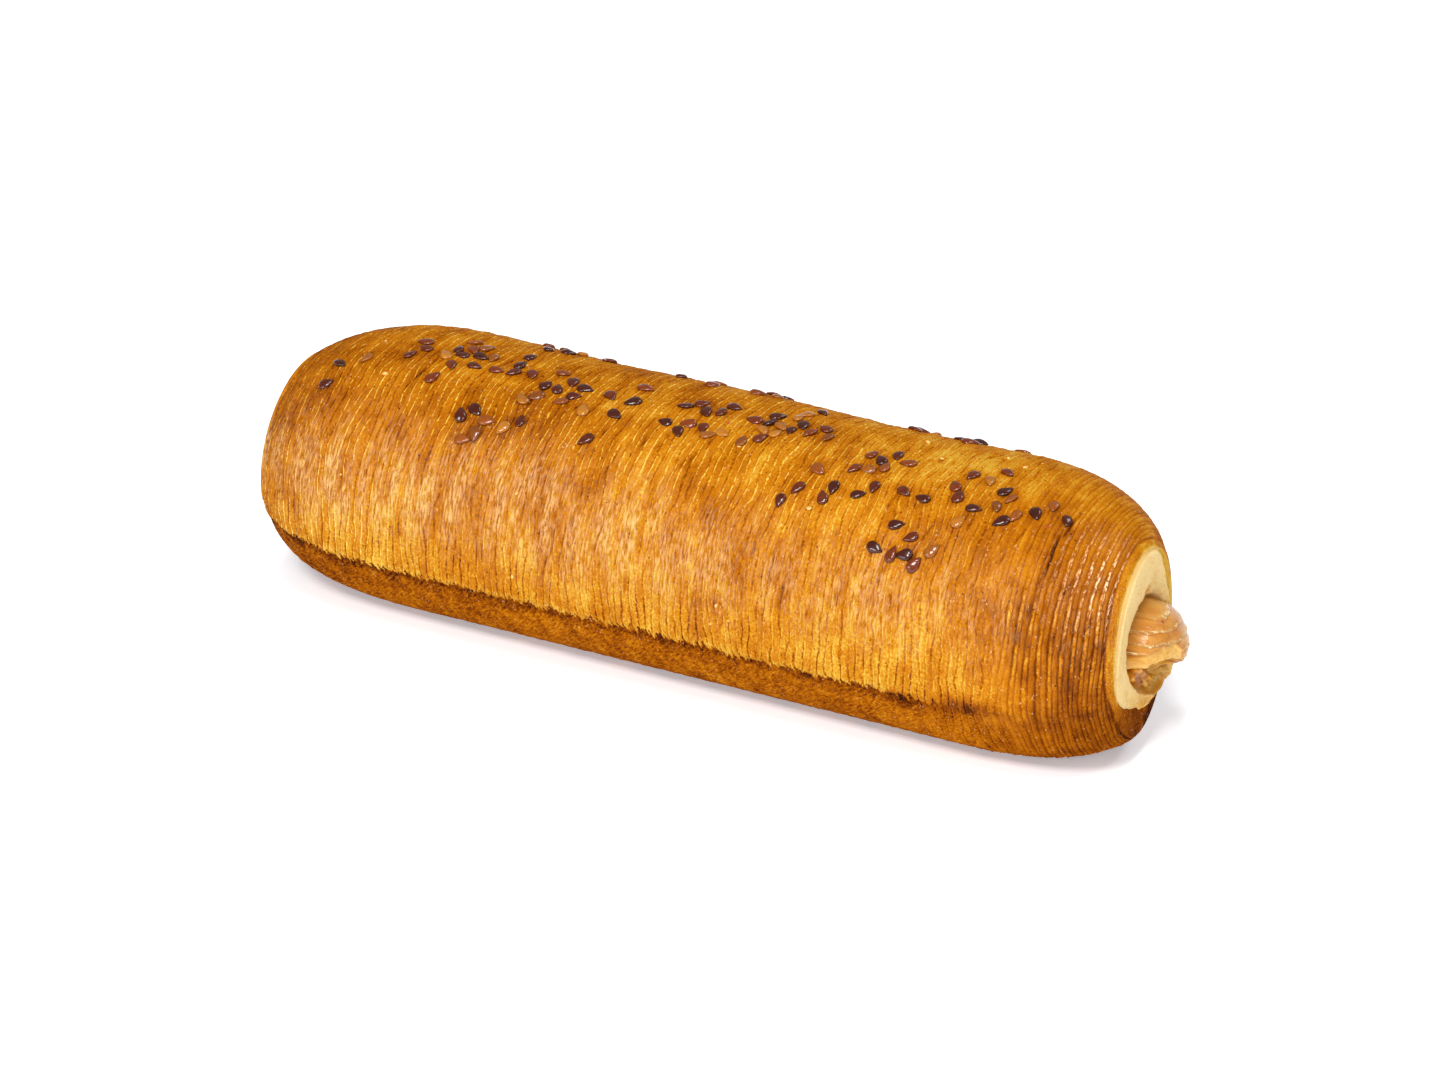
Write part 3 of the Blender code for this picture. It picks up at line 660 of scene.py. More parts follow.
def buildEnd(name, side):
    face = side * roll["length"] / 2
    out = roll["noseOut"][0 if side > 0 else 1]
    angles = np.linspace(-math.pi, math.pi, crumb["columns"] + 1)[None, :]
    inset = crumb["inset"] * rimShare(angles)
    rimY = roll["lipY"] + (roll["lipHalfY"] - inset) * np.cos(angles)
    rimZ = roll["lipZ"] + (roll["lipHalfZ"] - inset) * np.sin(angles)
    noseY, noseZ = ellipseAt((roll["noseY"], roll["noseZ"]), roll["noseLong"], roll["noseShort"],
                             roll["noseTilt"], angles - math.radians(roll["noseTilt"]))
    ring = np.linspace(0, 1, crumb["ringRows"])[:, None] ** 0.9
    y1, z1 = rimY + (noseY - rimY) * ring, rimZ + (noseZ - rimZ) * ring
    height = np.interp(ring, crumb["ringPlaces"], crumb["ringHeights"])
    swelling = np.interp(ring, crumb["ringPlaces"], crumb["ringSwell"])
    bulge = np.clip(np.cos(angles - math.radians(roll["bulgeAt"])), 0, 1) ** 2 * roll["crumbBulge"]
    flush = (1 - np.clip(rimShare(angles) - 0.2, 0, 1)) * (1 - fade(ring, 0.02, 0.16))
    x1 = height + bulge * swelling + 0.45 * flush
    share = (1 - np.linspace(0, 1, crumb["noseRows"])[1:] * 0.985)[:, None]
    y2, z2 = roll["noseY"] + (noseY - roll["noseY"]) * share, roll["noseZ"] + (noseZ - roll["noseZ"]) * share
    dome = out * np.sqrt(1 - share ** 2) * (1 - crumb["noseBlunt"] * share)
    settle = fade(share, 0.90, 1.0)                                    # the nose rises out of the valley
    x2 = dome + (bulge * 0.8 - 2.6) * settle + 0 * angles
    y, z, x = np.concatenate([y1, y2]), np.concatenate([z1, z2]), np.concatenate([x1, x2])
    onNose = np.concatenate([0 * x1, 1 + 0 * x2])
    noseShare = np.concatenate([1 + 0 * x1, share + 0 * x2])

    # layers of browned dough lie across the nose like shingles, each with a thin pale ragged edge
    layer = (z - crumb["layerFrom"] + 0.15 * (y + 5) + 0.30 * softNoise(y / 3 + side * 7, z / 3, 51)
             + 0.22 * softNoise(y / 0.8, z / 3, 65)) / crumb["layerPitch"]
    step = layer - np.floor(layer)
    lumpy = 0.7 + 0.9 * softNoise(y / 0.55, z / 1.2, 69)
    shingle = 0.4 * (0.5 - step) + 0.75 * lumpy * np.exp(-((step - 0.10) / 0.10) ** 2)
    ragged = 0.5 * softNoise(y / 1.1, z / 5, 66) + 0.3 * softNoise(y / 0.5, z / 5, 67)
    above = z + ragged - np.interp(y, *np.transpose(crumb["browned"]))
    noseTop = onNose * fade(above, -0.35, 0.25)
    fold = onNose * fade(above, -3.2, -1.6) * (1 - fade(above, -0.35, 0.25)) * (1 - fade(y, -3, 1))
    x = x + crumb["layerHigh"] * shingle * noseTop * fade(1.01 - noseShare, 0.0, 0.12)
    x = x + 0.35 * noseTop * fade(1.0 - noseShare, 0.05, 0.3)
    grainy = 0.10 * softNoise(y / 0.55, z / 0.55, 52 + side) + 0.16 * softNoise(y / 1.6, z / 1.6, 54 + side)
    grainy = grainy + 0.25 * softNoise(y / 5, z / 5, 56 + side)
    edge = np.concatenate([fade(ring, 0.0, 0.15) + 0 * x1, 1 + 0 * x2])
    x = x + grainy * edge * (1 - 0.75 * noseTop)
    holeY, holeZ, holeWide, holeTall = crumb["hole"]
    hole = spot(y, z, holeY, holeZ - (0 if side > 0 else crumb["holeLower"]), holeWide, holeTall)
    x = x - crumb["holeDeep"] * hole

    # the pocket is cut straight in from the lip's plane: steep above, sloping out below
    rim, along, across = pocketShare(y, z)
    rim = rim + 0.06 * softNoise(y / 1.6, z / 1.6, 58) + 0.03 * softNoise(y / 0.6, z / 0.6, 59)
    deep = np.interp(rim, crumb["pocketRim"], crumb["pocketDeep"])
    deep = np.where(deep > 0, deep * (1 - 0.7 * fade(along, 0.5, 6.0)), deep)      # shallower towards the back
    deep = np.where(deep > 0, deep * (0.35 + 0.65 * fade(across, -3.6, 0.6)), deep)
    fibres = 0.35 * softNoise(y / 0.7, z / 1.6, 60) + 0.25 * softNoise(y / 0.4, z / 0.4, 61)
    floorX = -(deep + 1.5 * fibres * fade(1.0 - rim, 0.0, 0.25))
    xFace = shear(face + 0 * y, y) + side * x
    xPocket = face + side * floorX
    depthHere = side * (xFace - xPocket)
    xFace = np.where(depthHere > 0, xPocket, xFace)
    inPocket = fade(depthHere, 0.0, 0.8)

    # baked on the nose, pale elsewhere, darker towards the bottom; painted shade in the burst bubble, round the foot of
    # the nose, in the pocket and under the nose
    bakeAndShade = 0.02 + 0.05 * softNoise(y / 3, z / 3, 62 + side) + 0.22 * fade(-z, -15, -7) + 0.09 * fold + 0.30 * hole
    for middleY, middleZ, wideY, wideZ, much in crumb["edgeSpots"]:
        bakeAndShade = bakeAndShade + much * spot(y, z, middleY, middleZ, wideY, wideZ)
    bakeAndShade = bakeAndShade + noseTop * (0.37 + 0.06 * softNoise(y / 4, z / 2.5, 63) + 0.05 * softNoise(y / 1.1, z / 0.7, 68))
    bakeAndShade = bakeAndShade + (1 - noseTop) * (0.06 * onNose + 0.30 * inPocket * spot(y, z, *crumb["shadeUnderNose"]))
    # painted shade in the valley round the nose
    bakeAndShade = bakeAndShade + np.concatenate([0.22 * fade(ring, 0.93, 1.0) + 0 * x1, 0 * x2])
    # the pocket's floor gets painted shade where it is deep
    floorTone = 0.06 + 0.16 * softNoise(y / 1.3, z / 0.9, 64) + 0.16 * fade(deep, 2.5, 6.0)
    bakeAndShade = bakeAndShade + inPocket * (1 - noseTop * 0.9) * floorTone
    oily = spot(y, z, *crumb["cheeseSmear"]) * np.clip(0.8 + 0.9 * softNoise(y / 1.1, z / 0.8, 70), 0, 1.3)
    # painted shade in the burst bubble and the deep pocket
    hollow = np.maximum(0.9 * hole, 0.38 * inPocket * fade(deep, 3.0, 6.0))

    skin = np.stack([xFace, y, z], axis=-1)
    backRows = []
    for part, back in crumb["back"]:
        backY = roll["lipY"] + (rimY[0] - roll["lipY"]) * part
        backZ = roll["lipZ"] + (rimZ[0] - roll["lipZ"]) * part
        backRows.append(np.stack([shear(face + 0 * backY, backY) - side * back, backY, backZ], axis=-1))
    points = np.concatenate([np.array(backRows), skin])
    extra = len(backRows)

    def padded(field):
        return np.concatenate([np.repeat(field[:1], extra, axis=0), field])

    fields = {"bakeAndShade": np.clip(bakeAndShade, 0, 1), "hollow": np.clip(hollow, 0, 1), "layer": layer, "browned": noseTop,
              "nose": noseTop * (1 - inPocket), "oily": np.clip(oily * (1 - noseTop), 0, 1)}
    return laySheet(name, points, padded(y), padded(z), {label: padded(field) for label, field in fields.items()})


rightEndPiece = buildEnd("rightCrumb", 1)
leftEndPiece = buildEnd("leftCrumb", -1)
print("ends laid:", len(rightEndPiece.data.polygons), "faces each")


# the strand of cheese, melted and lumpy where it shows
strand = {
    "columns": 48, "rows": 60, "lump": 0.24,
    "ends": ((0.0, 0.05), (0.0, 0.35), (0.0, 0.6), (0.1, 0.8), (0.3, 0.92), (1.0, 0.98), (3.0, 1.0), (6.0, 1.0)),
}


def buildCheese():
    ends = np.array(strand["ends"])                                  # how far in, and what share of the section
    half = roll["length"] / 2 - roll["cheeseBack"]
    middle = np.linspace(-half + 8, half - 8, strand["rows"])
    x = np.concatenate([-half + ends[:, 0], middle, (half - ends[:, 0])[::-1]])[:, None]
    share = np.concatenate([ends[:, 1], np.full(strand["rows"], 0.98), ends[::-1, 1]])[:, None]
    angles = np.linspace(-math.pi, math.pi, strand["columns"] + 1)[None, :]
    rough = 1 + strand["lump"] * softNoise(np.cos(angles) * 2.2 + 3, np.sin(angles) * 2.2 + x / 3, 71)
    y, z = ellipseAt((roll["cheeseY"], roll["cheeseZ"]), roll["cheeseLong"] * share * rough,
                     roll["cheeseShort"] * share * rough, roll["pocketTilt"], angles)
    crag = 0.55 * softNoise(y / 1.3, z / 0.9, 72) + 0.35 * softNoise(y / 0.6, z / 0.5, 74) - 0.4
    x = x + np.sign(x) * crag * fade(np.abs(x), half - 3, half)
    points = np.stack(np.broadcast_arrays(x, y, z), axis=-1)
    tone = 0.5 + 0.5 * softNoise(y / 1.4, z / 1.2 + x / 4, 73)
    return laySheet("cheeseStrand", points, x + 0 * y, angles * 4 + 0 * y, {"tone": tone})


cheesePiece = buildCheese()
print("cheese strand laid")


# sesame: flat drops, most of them dark, some amber and see-through
def seedDrop(rings=6, around=12):
    bm = bmesh.new()
    bmesh.ops.create_uvsphere(bm, u_segments=around, v_segments=rings, radius=0.5)
    for corner in bm.verts:
        length = 2 * corner.co.x
        corner.co.y *= 1 - 0.40 * length - 0.14 * length ** 2
        corner.co.x += 0.05 * max(0.0, length) ** 3
        corner.co.z *= 1 - 0.18 * length
        if corner.co.z > 0:
            corner.co.z *= 1 - 0.16 * math.exp(-(corner.co.y / 0.16) ** 2)       # a shallow dish on top
    bmesh.ops.scale(bm, vec=(sesame["long"] * mm, sesame["wide"] * 1.1 * mm, sesame["thick"] * mm), verts=bm.verts)
    return meshOf("drop", bm)


def scatter(name, shape, places, tones):
    count = len(shape.vertices)
    bm = bmesh.new()
    for place in places:
        start = len(bm.verts)
        bm.from_mesh(shape)
        bm.verts.ensure_lookup_table()
        bmesh.ops.transform(bm, matrix=place, verts=bm.verts[start:])
    bmesh.ops.recalc_face_normals(bm, faces=bm.faces)
    mesh = meshOf(name, bm)
    field = mesh.attributes.new("tone", "FLOAT", "POINT")
    field.data.foreach_set("value", np.repeat(np.array(tones, np.float32), count))
    mesh.shade_smooth()
    return newPiece(name, mesh)


# lies flat on the crust at a place, turned, tipped and scaled
def lieAt(over, across, turn, size, rise, tip=0.0):
    here = crownPoint(over, across)
    along = crownPoint(over + 0.5, across) - here
    along = along / np.linalg.norm(along)
    up = np.cross(along, crownPoint(over, across + 0.5) - here)
    up = up / np.linalg.norm(up)
    lie = math.cos(turn) * along + math.sin(turn) * np.cross(up, along)
    side = np.cross(up, lie)
    tipped = up * math.cos(tip) + side * math.sin(tip)
    side = np.cross(tipped, lie)
    place = np.eye(4)
    place[:3, 0] = lie * size
    place[:3, 1] = side * size
    place[:3, 2] = tipped * size
    place[:3, 3] = (here + up * (rise + swell(over, across)) + moved) * mm
    return Matrix(place.tolist())


def buildSeeds():
    draw = random.Random(23)
    drop = seedDrop()
    dark, darkTones, amber, amberTones = [], [], [], []
    for over, across, turn, size in seeds:
        place = lieAt(over, across, turn, size, sesame["rise"], draw.gauss(0, 0.16))
        if draw.random() < sesame["amberShare"]:
            amber.append(place)
            amberTones.append(draw.random())
        else:
            dark.append(place)
            darkTones.append(draw.random() ** 1.4)
    return (scatter("darkSesame", drop, dark, darkTones), scatter("amberSesame", drop, amber, amberTones))


darkPiece, amberPiece = buildSeeds()
print("sesame scattered:", len(darkPiece.data.polygons) + len(amberPiece.data.polygons), "faces")


# small specks: bits of red spice, and pale flakes of husk stuck in the glaze
specks = {
    "red": ((-38.0, -25.0), (-4.5, -9.0), (4.0, -4.0), (49.0, -4.0), (55.0, -18.0), (71.0, -11.0), (83.0, -1.0),
            (-12.0, 14.0), (33.0, 12.0), (63.0, 20.0)),
    "redSize": 0.55, "paleSize": 1.0, "paleCount": 22, "onNose": (90.9, -1.8, 27.8),
}


def buildSpecks():
    draw = random.Random(37)
    bm = bmesh.new()
    bmesh.ops.create_icosphere(bm, subdivisions=1, radius=0.5)
    for corner in bm.verts:
        corner.co *= draw.uniform(0.75, 1.2)
    bmesh.ops.scale(bm, vec=(mm, 0.7 * mm, 0.45 * mm), verts=bm.verts)
    chip = meshOf("chip", bm)
    red = [lieAt(over, across, draw.uniform(0, 6), specks["redSize"] * draw.uniform(0.8, 1.5), 0.05)
           for over, across in specks["red"]]
    red.append(Matrix.Translation(Vector(moved + np.array(specks["onNose"])) * mm) @ Matrix.Scale(0.8, 4))
    pale = []
    for _ in range(specks["paleCount"]):
        over, across = draw.uniform(-75, 84), draw.uniform(-46, 30)
        pale.append(lieAt(over, across, draw.uniform(0, 6), specks["paleSize"] * draw.uniform(0.5, 1.3), 0.03))
    return (scatter("redSpice", chip, red, [0.5] * len(red)),
            scatter("huskFlakes", chip, pale, [draw.random() for _ in pale]))


redPiece, flakePiece = buildSpecks()
print("specks scattered")


glaze = {
    "tones": ((0.0, "#f5d286"), (0.15, "#e8ba4e"), (0.30, "#d1a53a"), (0.38, "#c6942a"), (0.47, "#bc750e"),
              (0.60, "#a25a05"), (0.74, "#7e3e03"), (0.88, "#522202"), (1.0, "#2a0e02")),
    "bareTones": ((0.0, "#f8d896"), (0.14, "#eec278"), (0.4, "#d8a048")),
    # the tint of the painted highlights and glints
    "paintedGlint": "#ffd09c",
    # how many lumps to a mm along the roll and round it, the turn, detail and roughness
    "noises": {
        "streak": (0.50, 0.10, 0.0, 4.0, 0.6),           # as wide as a pleat, long as a finger
        "fine": (1.6, 0.40, 0.0, 3.0, 0.6),
        "grain": (2.3, 1.9, 0.0, 3.0, 0.65),             # under half a mm
        "mottle": (0.30, 0.25, 0.0, 3.0, 0.6),
        "beading": (1.3, 1.1, 0.0, 2.0, 0.6),
        "wobbly": (0.9, 0.8, 0.0, 3.0, 0.6),
        "torn": (1.0, 0.16, 0.0, 4.0, 0.75),
        "breaks": (0.35, 0.0, 0.0, 3.0, 0.6),
        "dashes": (2.4, 0.45, 0.0, 2.0, 0.6),
        "drops": (0.9, 0.25, 0.0, 2.0, 0.6),
    },
    # each kind of line: its pitch, the middle, outer and inner reach of its pale edge and of its groove, and a seed
    "lines": {
        "layer": (crust["finePitch"], (0.20, 0.20, 0.05), (-0.10, 0.22, 0.05), 0.0),
        "rib": (crust["boldPitch"], (0.46, 0.44, 0.14), (-0.05, 0.24, 0.06), 7.0),
    },
    "burstSize": 0.09, "dropSize": 0.20,
    # how much each of these darkens the crust, or lightens it: baking, and painted shade and highlights
    "toneShifts": {"mottle": 0.32, "leaning": 0.8, "grooveShade": 1.0, "cracks": 0.26, "seam": 0.12, "brim": -0.22,
                 "ribSlopeShade": 0.07, "paleTone": -0.38, "blisterSheen": -0.05, "blisterHighlights": -0.10, "pits": 0.22},
    # how high each of these stands, mm
    "heights": {"fine": 0.15, "leaning": 0.35, "pale": 0.10, "dark": -0.14, "pits": -0.08, "glintFlecks": 0.05},
    "washHeights": {"dark": -0.10, "pale": 0.06},
}


# laminated pastry, egg-washed and baked: an amber glaze, with a thin pale edge where each layer ends; painted shade in
# its grooves and cracks, painted highlights and glints on its edges and blisters
def pastryMaterial():
    material, tree, shader = newMaterial("eggWashedPastry")
    made = startFields(tree, ("layer", "rib", "right", "plain", "blisterSheen", "creased", "slow", "side", "belly",
                              "cracks", "glossAndGlints", "pared"), glaze["noises"])
    flat = addNode(tree, "ShaderNodeSeparateXYZ", inputs={"Vector": made["wrap"]}).outputs
    made["over"], made["across"] = flat["X"], flat["Y"]
    workOut(tree, made, (
        ("size", ("ABSOLUTE", "across")),
        ("wobble", ("MULTIPLY_ADD", "wobbly", 0.40, -0.20)),
        # the skin below is pressed, and its grain leans
        ("slanting", ("placed", "wrap", (1.0, 1.0, 1.0), (0.0, 0.0, 0.7)), ("placed", (1.9, 0.45, 1.0)),
         ("noise", 1.0, 3.0, 0.65), ("SUBTRACT", 0.5)),
    ))

    # a line along each layer's edge, and the groove before it, both broken up and different on every layer
    for label, (pitch, edge, groove, seed) in glaze["lines"].items():
        away = label + "Away"
        workOut(tree, made, (
            ("cell", ("ADD", label, "wobble"), ("DIVIDE", pitch)),
            ("number", ("ROUND", "cell")),
            (away, ("SUBTRACT", "cell", "number"), ("MULTIPLY", pitch)),
            ("spread", ("MULTIPLY", "number", 5.3)),
            (label + "Own", ("joined", "spread", "across", seed), ("placed", (1.0, 0.16, 1.0)),
             ("noise", 1.0, 2.0, 0.5)),
            *[(label + part, ("SUBTRACT", away, middle), ("ABSOLUTE",), ("between", outer, inner))
              for part, (middle, outer, inner) in (("Edge", edge), ("Groove", groove))],
        ))

    workOut(tree, made, (
        # the fine layers give way to the wide ribs at the near end, which die away towards the crown
        ("lined", ("SUBTRACT", 1.0, "plain")),
        ("layerShare", ("between", "right", 0.0, 0.5), ("MULTIPLY_ADD", -0.92, 1.0), ("MULTIPLY", "lined")),
        ("ribShare", ("between", "right", 0.05, 0.60), ("MULTIPLY", "lined")),
        ("crownward", ("between", "size", 33.0, 18.0)),
        ("topmost", ("MULTIPLY_ADD", "crownward", -0.65, 1.0)),
        ("lowDown", ("between", "size", 36.0, 47.0)),
        # the pale edges: the layers' own paler ends, partly a painted highlight where the edges catch the light
        ("beads", ("between", "beading", 0.38, 0.53)),
        ("beaded", ("MULTIPLY_ADD", "beads", 0.6, 0.4)),
        ("lower", ("MULTIPLY_ADD", "lowDown", -0.35, 0.80)),
        ("ribPale", ("between", "ribOwn", 0.30, 0.55),
         ("MULTIPLY", "ribEdge", "beaded", "ribShare", "lower", "topmost")),
        ("pale", ("between", "layerOwn", 0.38, 0.54), ("MULTIPLY", "layerEdge", "beads", "layerShare"),
         ("MAXIMUM", "ribPale")),
        # the dark grooves and cracks: painted shade
        ("least", ("SUBTRACT", 1.0, "crownward"), ("MULTIPLY_ADD", 0.10, 0.60)),
        ("grainy", ("between", "grain", 0.32, 0.54)),
        ("ribDark", ("MULTIPLY_ADD", "lowDown", -0.35, 0.70), ("MULTIPLY", "ribGroove", "topmost", "ribShare")),
        ("dark", ("between", "layerOwn", "least", 0.38), ("MULTIPLY", "layerGroove", "layerShare", "grainy"),
         ("MAXIMUM", "ribDark", "cracks")),
        # under the overhang: a ragged edge, a painted shade line along it, and the darker belly
        ("ragged", ("MULTIPLY_ADD", "torn", 8.0, -4.0)),
        ("below", ("SUBTRACT", "size", crownEnd + 0.2), ("ADD", "ragged")),
        ("broken", ("between", "breaks", 0.28, 0.50)),
        ("seam", ("SUBTRACT", "below", 0.9), ("ABSOLUTE",), ("between", 1.6, 0.2),
         ("MULTIPLY", "creased", "broken")),
        ("root", ("SQRT", "creased")),
        ("bellyShare", ("between", "below", -0.20, 0.35), ("MULTIPLY", "root"), ("ADD", "slow")),
        ("frayed", ("between", "grain", 0.42, 0.56)),
        ("brim", ("ADD", "below", 0.55), ("ABSOLUTE",), ("between", 0.55, 0.1), ("MULTIPLY", "frayed", "creased")),
        ("leaning", ("MULTIPLY_ADD", "creased", 0.65, 0.35), ("MULTIPLY", "bellyShare", "slanting")),
        # the wash: blisters with painted highlights on their tops, burst bubbles, flecks with painted glints, and
        # painted glints on the rib edges beside the lip
        ("speckled", ("MULTIPLY", "grain", 0.3)),
        ("blisterHighlights", ("MULTIPLY_ADD", "dashes", 0.7, "speckled"), ("between", 0.44, 0.57), ("MULTIPLY", "blisterSheen")),
        ("pits", ("placed", "wrap", (0.50, 0.40, 1.0)), ("cells", 1.0), ("LESS_THAN", glaze["burstSize"])),
        ("fewer", ("between", "drops", 0.52, 0.60)),
        ("glintFlecks", ("placed", "wrap", (1.5, 0.8, 1.0)), ("cells", 1.0), ("LESS_THAN", glaze["dropSize"]),
         ("MULTIPLY", "fewer")),
        ("ribGlints", ("between", "dashes", 0.46, 0.55), ("MULTIPLY", "ribEdge", "ribShare", "beads", "glossAndGlints")),
        ("paintedShine", ("MULTIPLY", "blisterHighlights", 0.40)),
        *addShares("paintedShine", {"glintFlecks": 0.30, "ribGlints": 1.1}),
        ("paintedShine", ("MINIMUM", "paintedShine", 0.95)),
        # how far it is baked: calmer on the wide ribs and on the crown
        ("calmCrown", ("MULTIPLY", "crownward", 0.3)),
        ("calm", ("MULTIPLY", "ribShare", 0.5), ("MAXIMUM", "calmCrown"), ("MULTIPLY_ADD", -1.0, 1.0)),
        ("uneven", ("MULTIPLY_ADD", "grain", 0.62, -0.57)),
        *addShares("uneven", {"fine": 0.26, "streak": 0.26}),
        ("step", ("SUBTRACT", "belly", "side")),
        ("baked", ("MULTIPLY_ADD", "bellyShare", "step", "side")),
        ("tone", ("MULTIPLY_ADD", "uneven", "calm", "baked"), ("ADD", -0.16)),
        ("grooveShade", ("MULTIPLY_ADD", "lowDown", 0.13, 0.14), ("MULTIPLY", "dark")),
        # painted shade: each rib darker away from its lit edge
        ("ribSlopeShade", ("MULTIPLY", "ribShare", "ribAway")),
        # the pale edges are strongest on the crown, the ribs and the far end
        ("farEnd", ("between", "over", -30.0, -70.0)),
        ("paleTone", ("between", "over", 15.0, 50.0), ("MULTIPLY_ADD", -0.4, 1.0), ("MULTIPLY", "crownward"),
         ("MAXIMUM", "ribShare", "farEnd"), ("MULTIPLY", 0.9), ("MAXIMUM", 0.32), ("MULTIPLY", "pale")),
        *addShares("tone", glaze["toneShifts"]),
        ("bareTone", ("MULTIPLY_ADD", "grain", 0.5, -0.26)),
        *addShares("bareTone", {"mottle": 0.3}),
        # roughness, and how thick the wash lies
        ("dull", ("MULTIPLY_ADD", "bellyShare", 0.25, 0.34)),
        *addShares("dull", {"dark": 0.25, "grain": 0.2}),
        ("washShare", ("MAXIMUM", "bellyShare", "pared"), ("MULTIPLY_ADD", -1.0, 1.0)),
        ("washed", ("MULTIPLY_ADD", "blisterSheen", 0.12, 0.06)),
        *addShares("washed", {"dark": -0.15, "glossAndGlints": 0.24}),
        ("washed", ("MULTIPLY", "washed", "washShare"), ("MAXIMUM", 0.01)),
        # heights in mm; the wash itself has run smooth, and only the broader bumps show in it
        ("height", ("MULTIPLY_ADD", "blisterSheen", 0.50, 0.28), ("MULTIPLY", "grain")),
        *addShares("height", glaze["heights"]),
        ("pooled", ("MULTIPLY", "beading", 0.16)),
        *addShares("pooled", glaze["washHeights"]),
    ))
    for tone, tones in (("tone", glaze["tones"]), ("bareTone", glaze["bareTones"])):
        made[tone] = addNode(tree, "ShaderNodeValToRGB", {}, {"Fac": made[tone]}, tones).outputs["Color"]
    workOut(tree, made, (
        ("colour", ("mixed", "tone", "paintedShine", hexColour(glaze["paintedGlint"])), ("mixed", "pared", "bareTone")),
        ("relief", ("bumpy", "height", 1.0, mm)),
        ("washRelief", ("bumpy", "pooled", 1.0, mm)),
    ))
    setInputs(tree, shader, {
        "Base Color": made["colour"], "Roughness": made["dull"], "Specular IOR Level": 0.0,
        "Coat Weight": made["washed"], "Coat Roughness": 0.10,
        "Normal": made["relief"], "Coat Normal": made["washRelief"],
    })
    return material


inside = {
    "tones": ((0.0, "#f8d896"), (0.10, "#eec278"), (0.26, "#d8a048"), (0.42, "#c48030"), (0.58, "#a85e14"),
              (0.78, "#783a08"), (1.0, "#3a1406")),
    # the tint of painted glints on the nose's edges
    "paintedGlint": "#ffe2b8", "cheesy": "#dea422",
    "noises": {"pores": (2.6, 1.7, 0.5, 4.0, 0.7), "coarse": (0.9, 0.9, 0.0, 3.0, 0.6)},
    # hollow and fold darken with painted shade
    "toneShifts": {"pores": 0.42, "coarse": 0.22, "hollow": 0.45, "pale": -0.42, "fold": 0.08},
}


# the crumb inside: soft pale dough, matt, with fine pores; painted shade in its hollows and painted glints on the
# nose's edges
def crumbMaterial():
    material, tree, shader = newMaterial("softCrumb")
    made = startFields(tree, ("bakeAndShade", "hollow", "browned", "layer", "nose", "oily"), inside["noises"])
    workOut(tree, made, (
        ("jagged", ("MULTIPLY_ADD", "coarse", 0.40, -0.29)),
        *addShares("jagged", {"pores": 0.22}),
        ("step", ("ADD", "layer", "jagged"), ("FRACT",)),
        ("beads", ("between", "pores", 0.40, 0.56)),
        ("broken", ("between", "coarse", 0.36, 0.50)),
        # the thin pale edge of each layer on the nose, and the painted shade line in the fold before it
        ("pale", ("SUBTRACT", "step", 0.13), ("ABSOLUTE",), ("between", 0.19, 0.07),
         ("MULTIPLY", "beads", "nose", "broken")),
        ("fold", ("SUBTRACT", "step", 0.93), ("ABSOLUTE",), ("between", 0.10, 0.01), ("MULTIPLY", "nose")),
        ("tone", ("ADD", "bakeAndShade", -0.32)),
        *addShares("tone", inside["toneShifts"]),
        # painted glints on the pale edges
        ("paintedGlint", ("between", "pores", 0.52, 0.62), ("MULTIPLY", "pale")),
        ("cheesy", ("between", "pores", 0.36, 0.52), ("MULTIPLY", "oily")),
        ("dull", ("MULTIPLY_ADD", "browned", -0.36, 0.74)),
        *addShares("dull", {"oily": -0.30}),
        ("washed", ("MAXIMUM", "nose", "oily", "pale"), ("MULTIPLY", 0.6)),
        ("height", ("MULTIPLY", "pale", 0.18)),
        *addShares("height", {"pores": 0.50, "fold": -0.05}),
        ("pooled", ("MULTIPLY", "coarse", 0.30)),
        *addShares("pooled", {"pale": 0.12}),
    ))
    made["tone"] = addNode(tree, "ShaderNodeValToRGB", {}, {"Fac": made["tone"]}, inside["tones"]).outputs["Color"]
    workOut(tree, made, (
        ("colour", ("mixed", "tone", "paintedGlint", hexColour(inside["paintedGlint"])),
         ("mixed", "cheesy", hexColour(inside["cheesy"]))),
        ("relief", ("bumpy", "height", 1.0, mm)),
        ("washRelief", ("bumpy", "pooled", 1.0, mm)),
    ))
    setInputs(tree, shader, {
        "Base Color": made["colour"], "Roughness": made["dull"], "Specular IOR Level": 0.05,
        "Coat Weight": made["washed"], "Coat Roughness": 0.12,
        "Normal": made["relief"], "Coat Normal": made["washRelief"],
        "Subsurface Weight": 0.15, "Subsurface Radius": (1.0, 0.5, 0.25), "Subsurface Scale": 0.0015,
    })
    return material


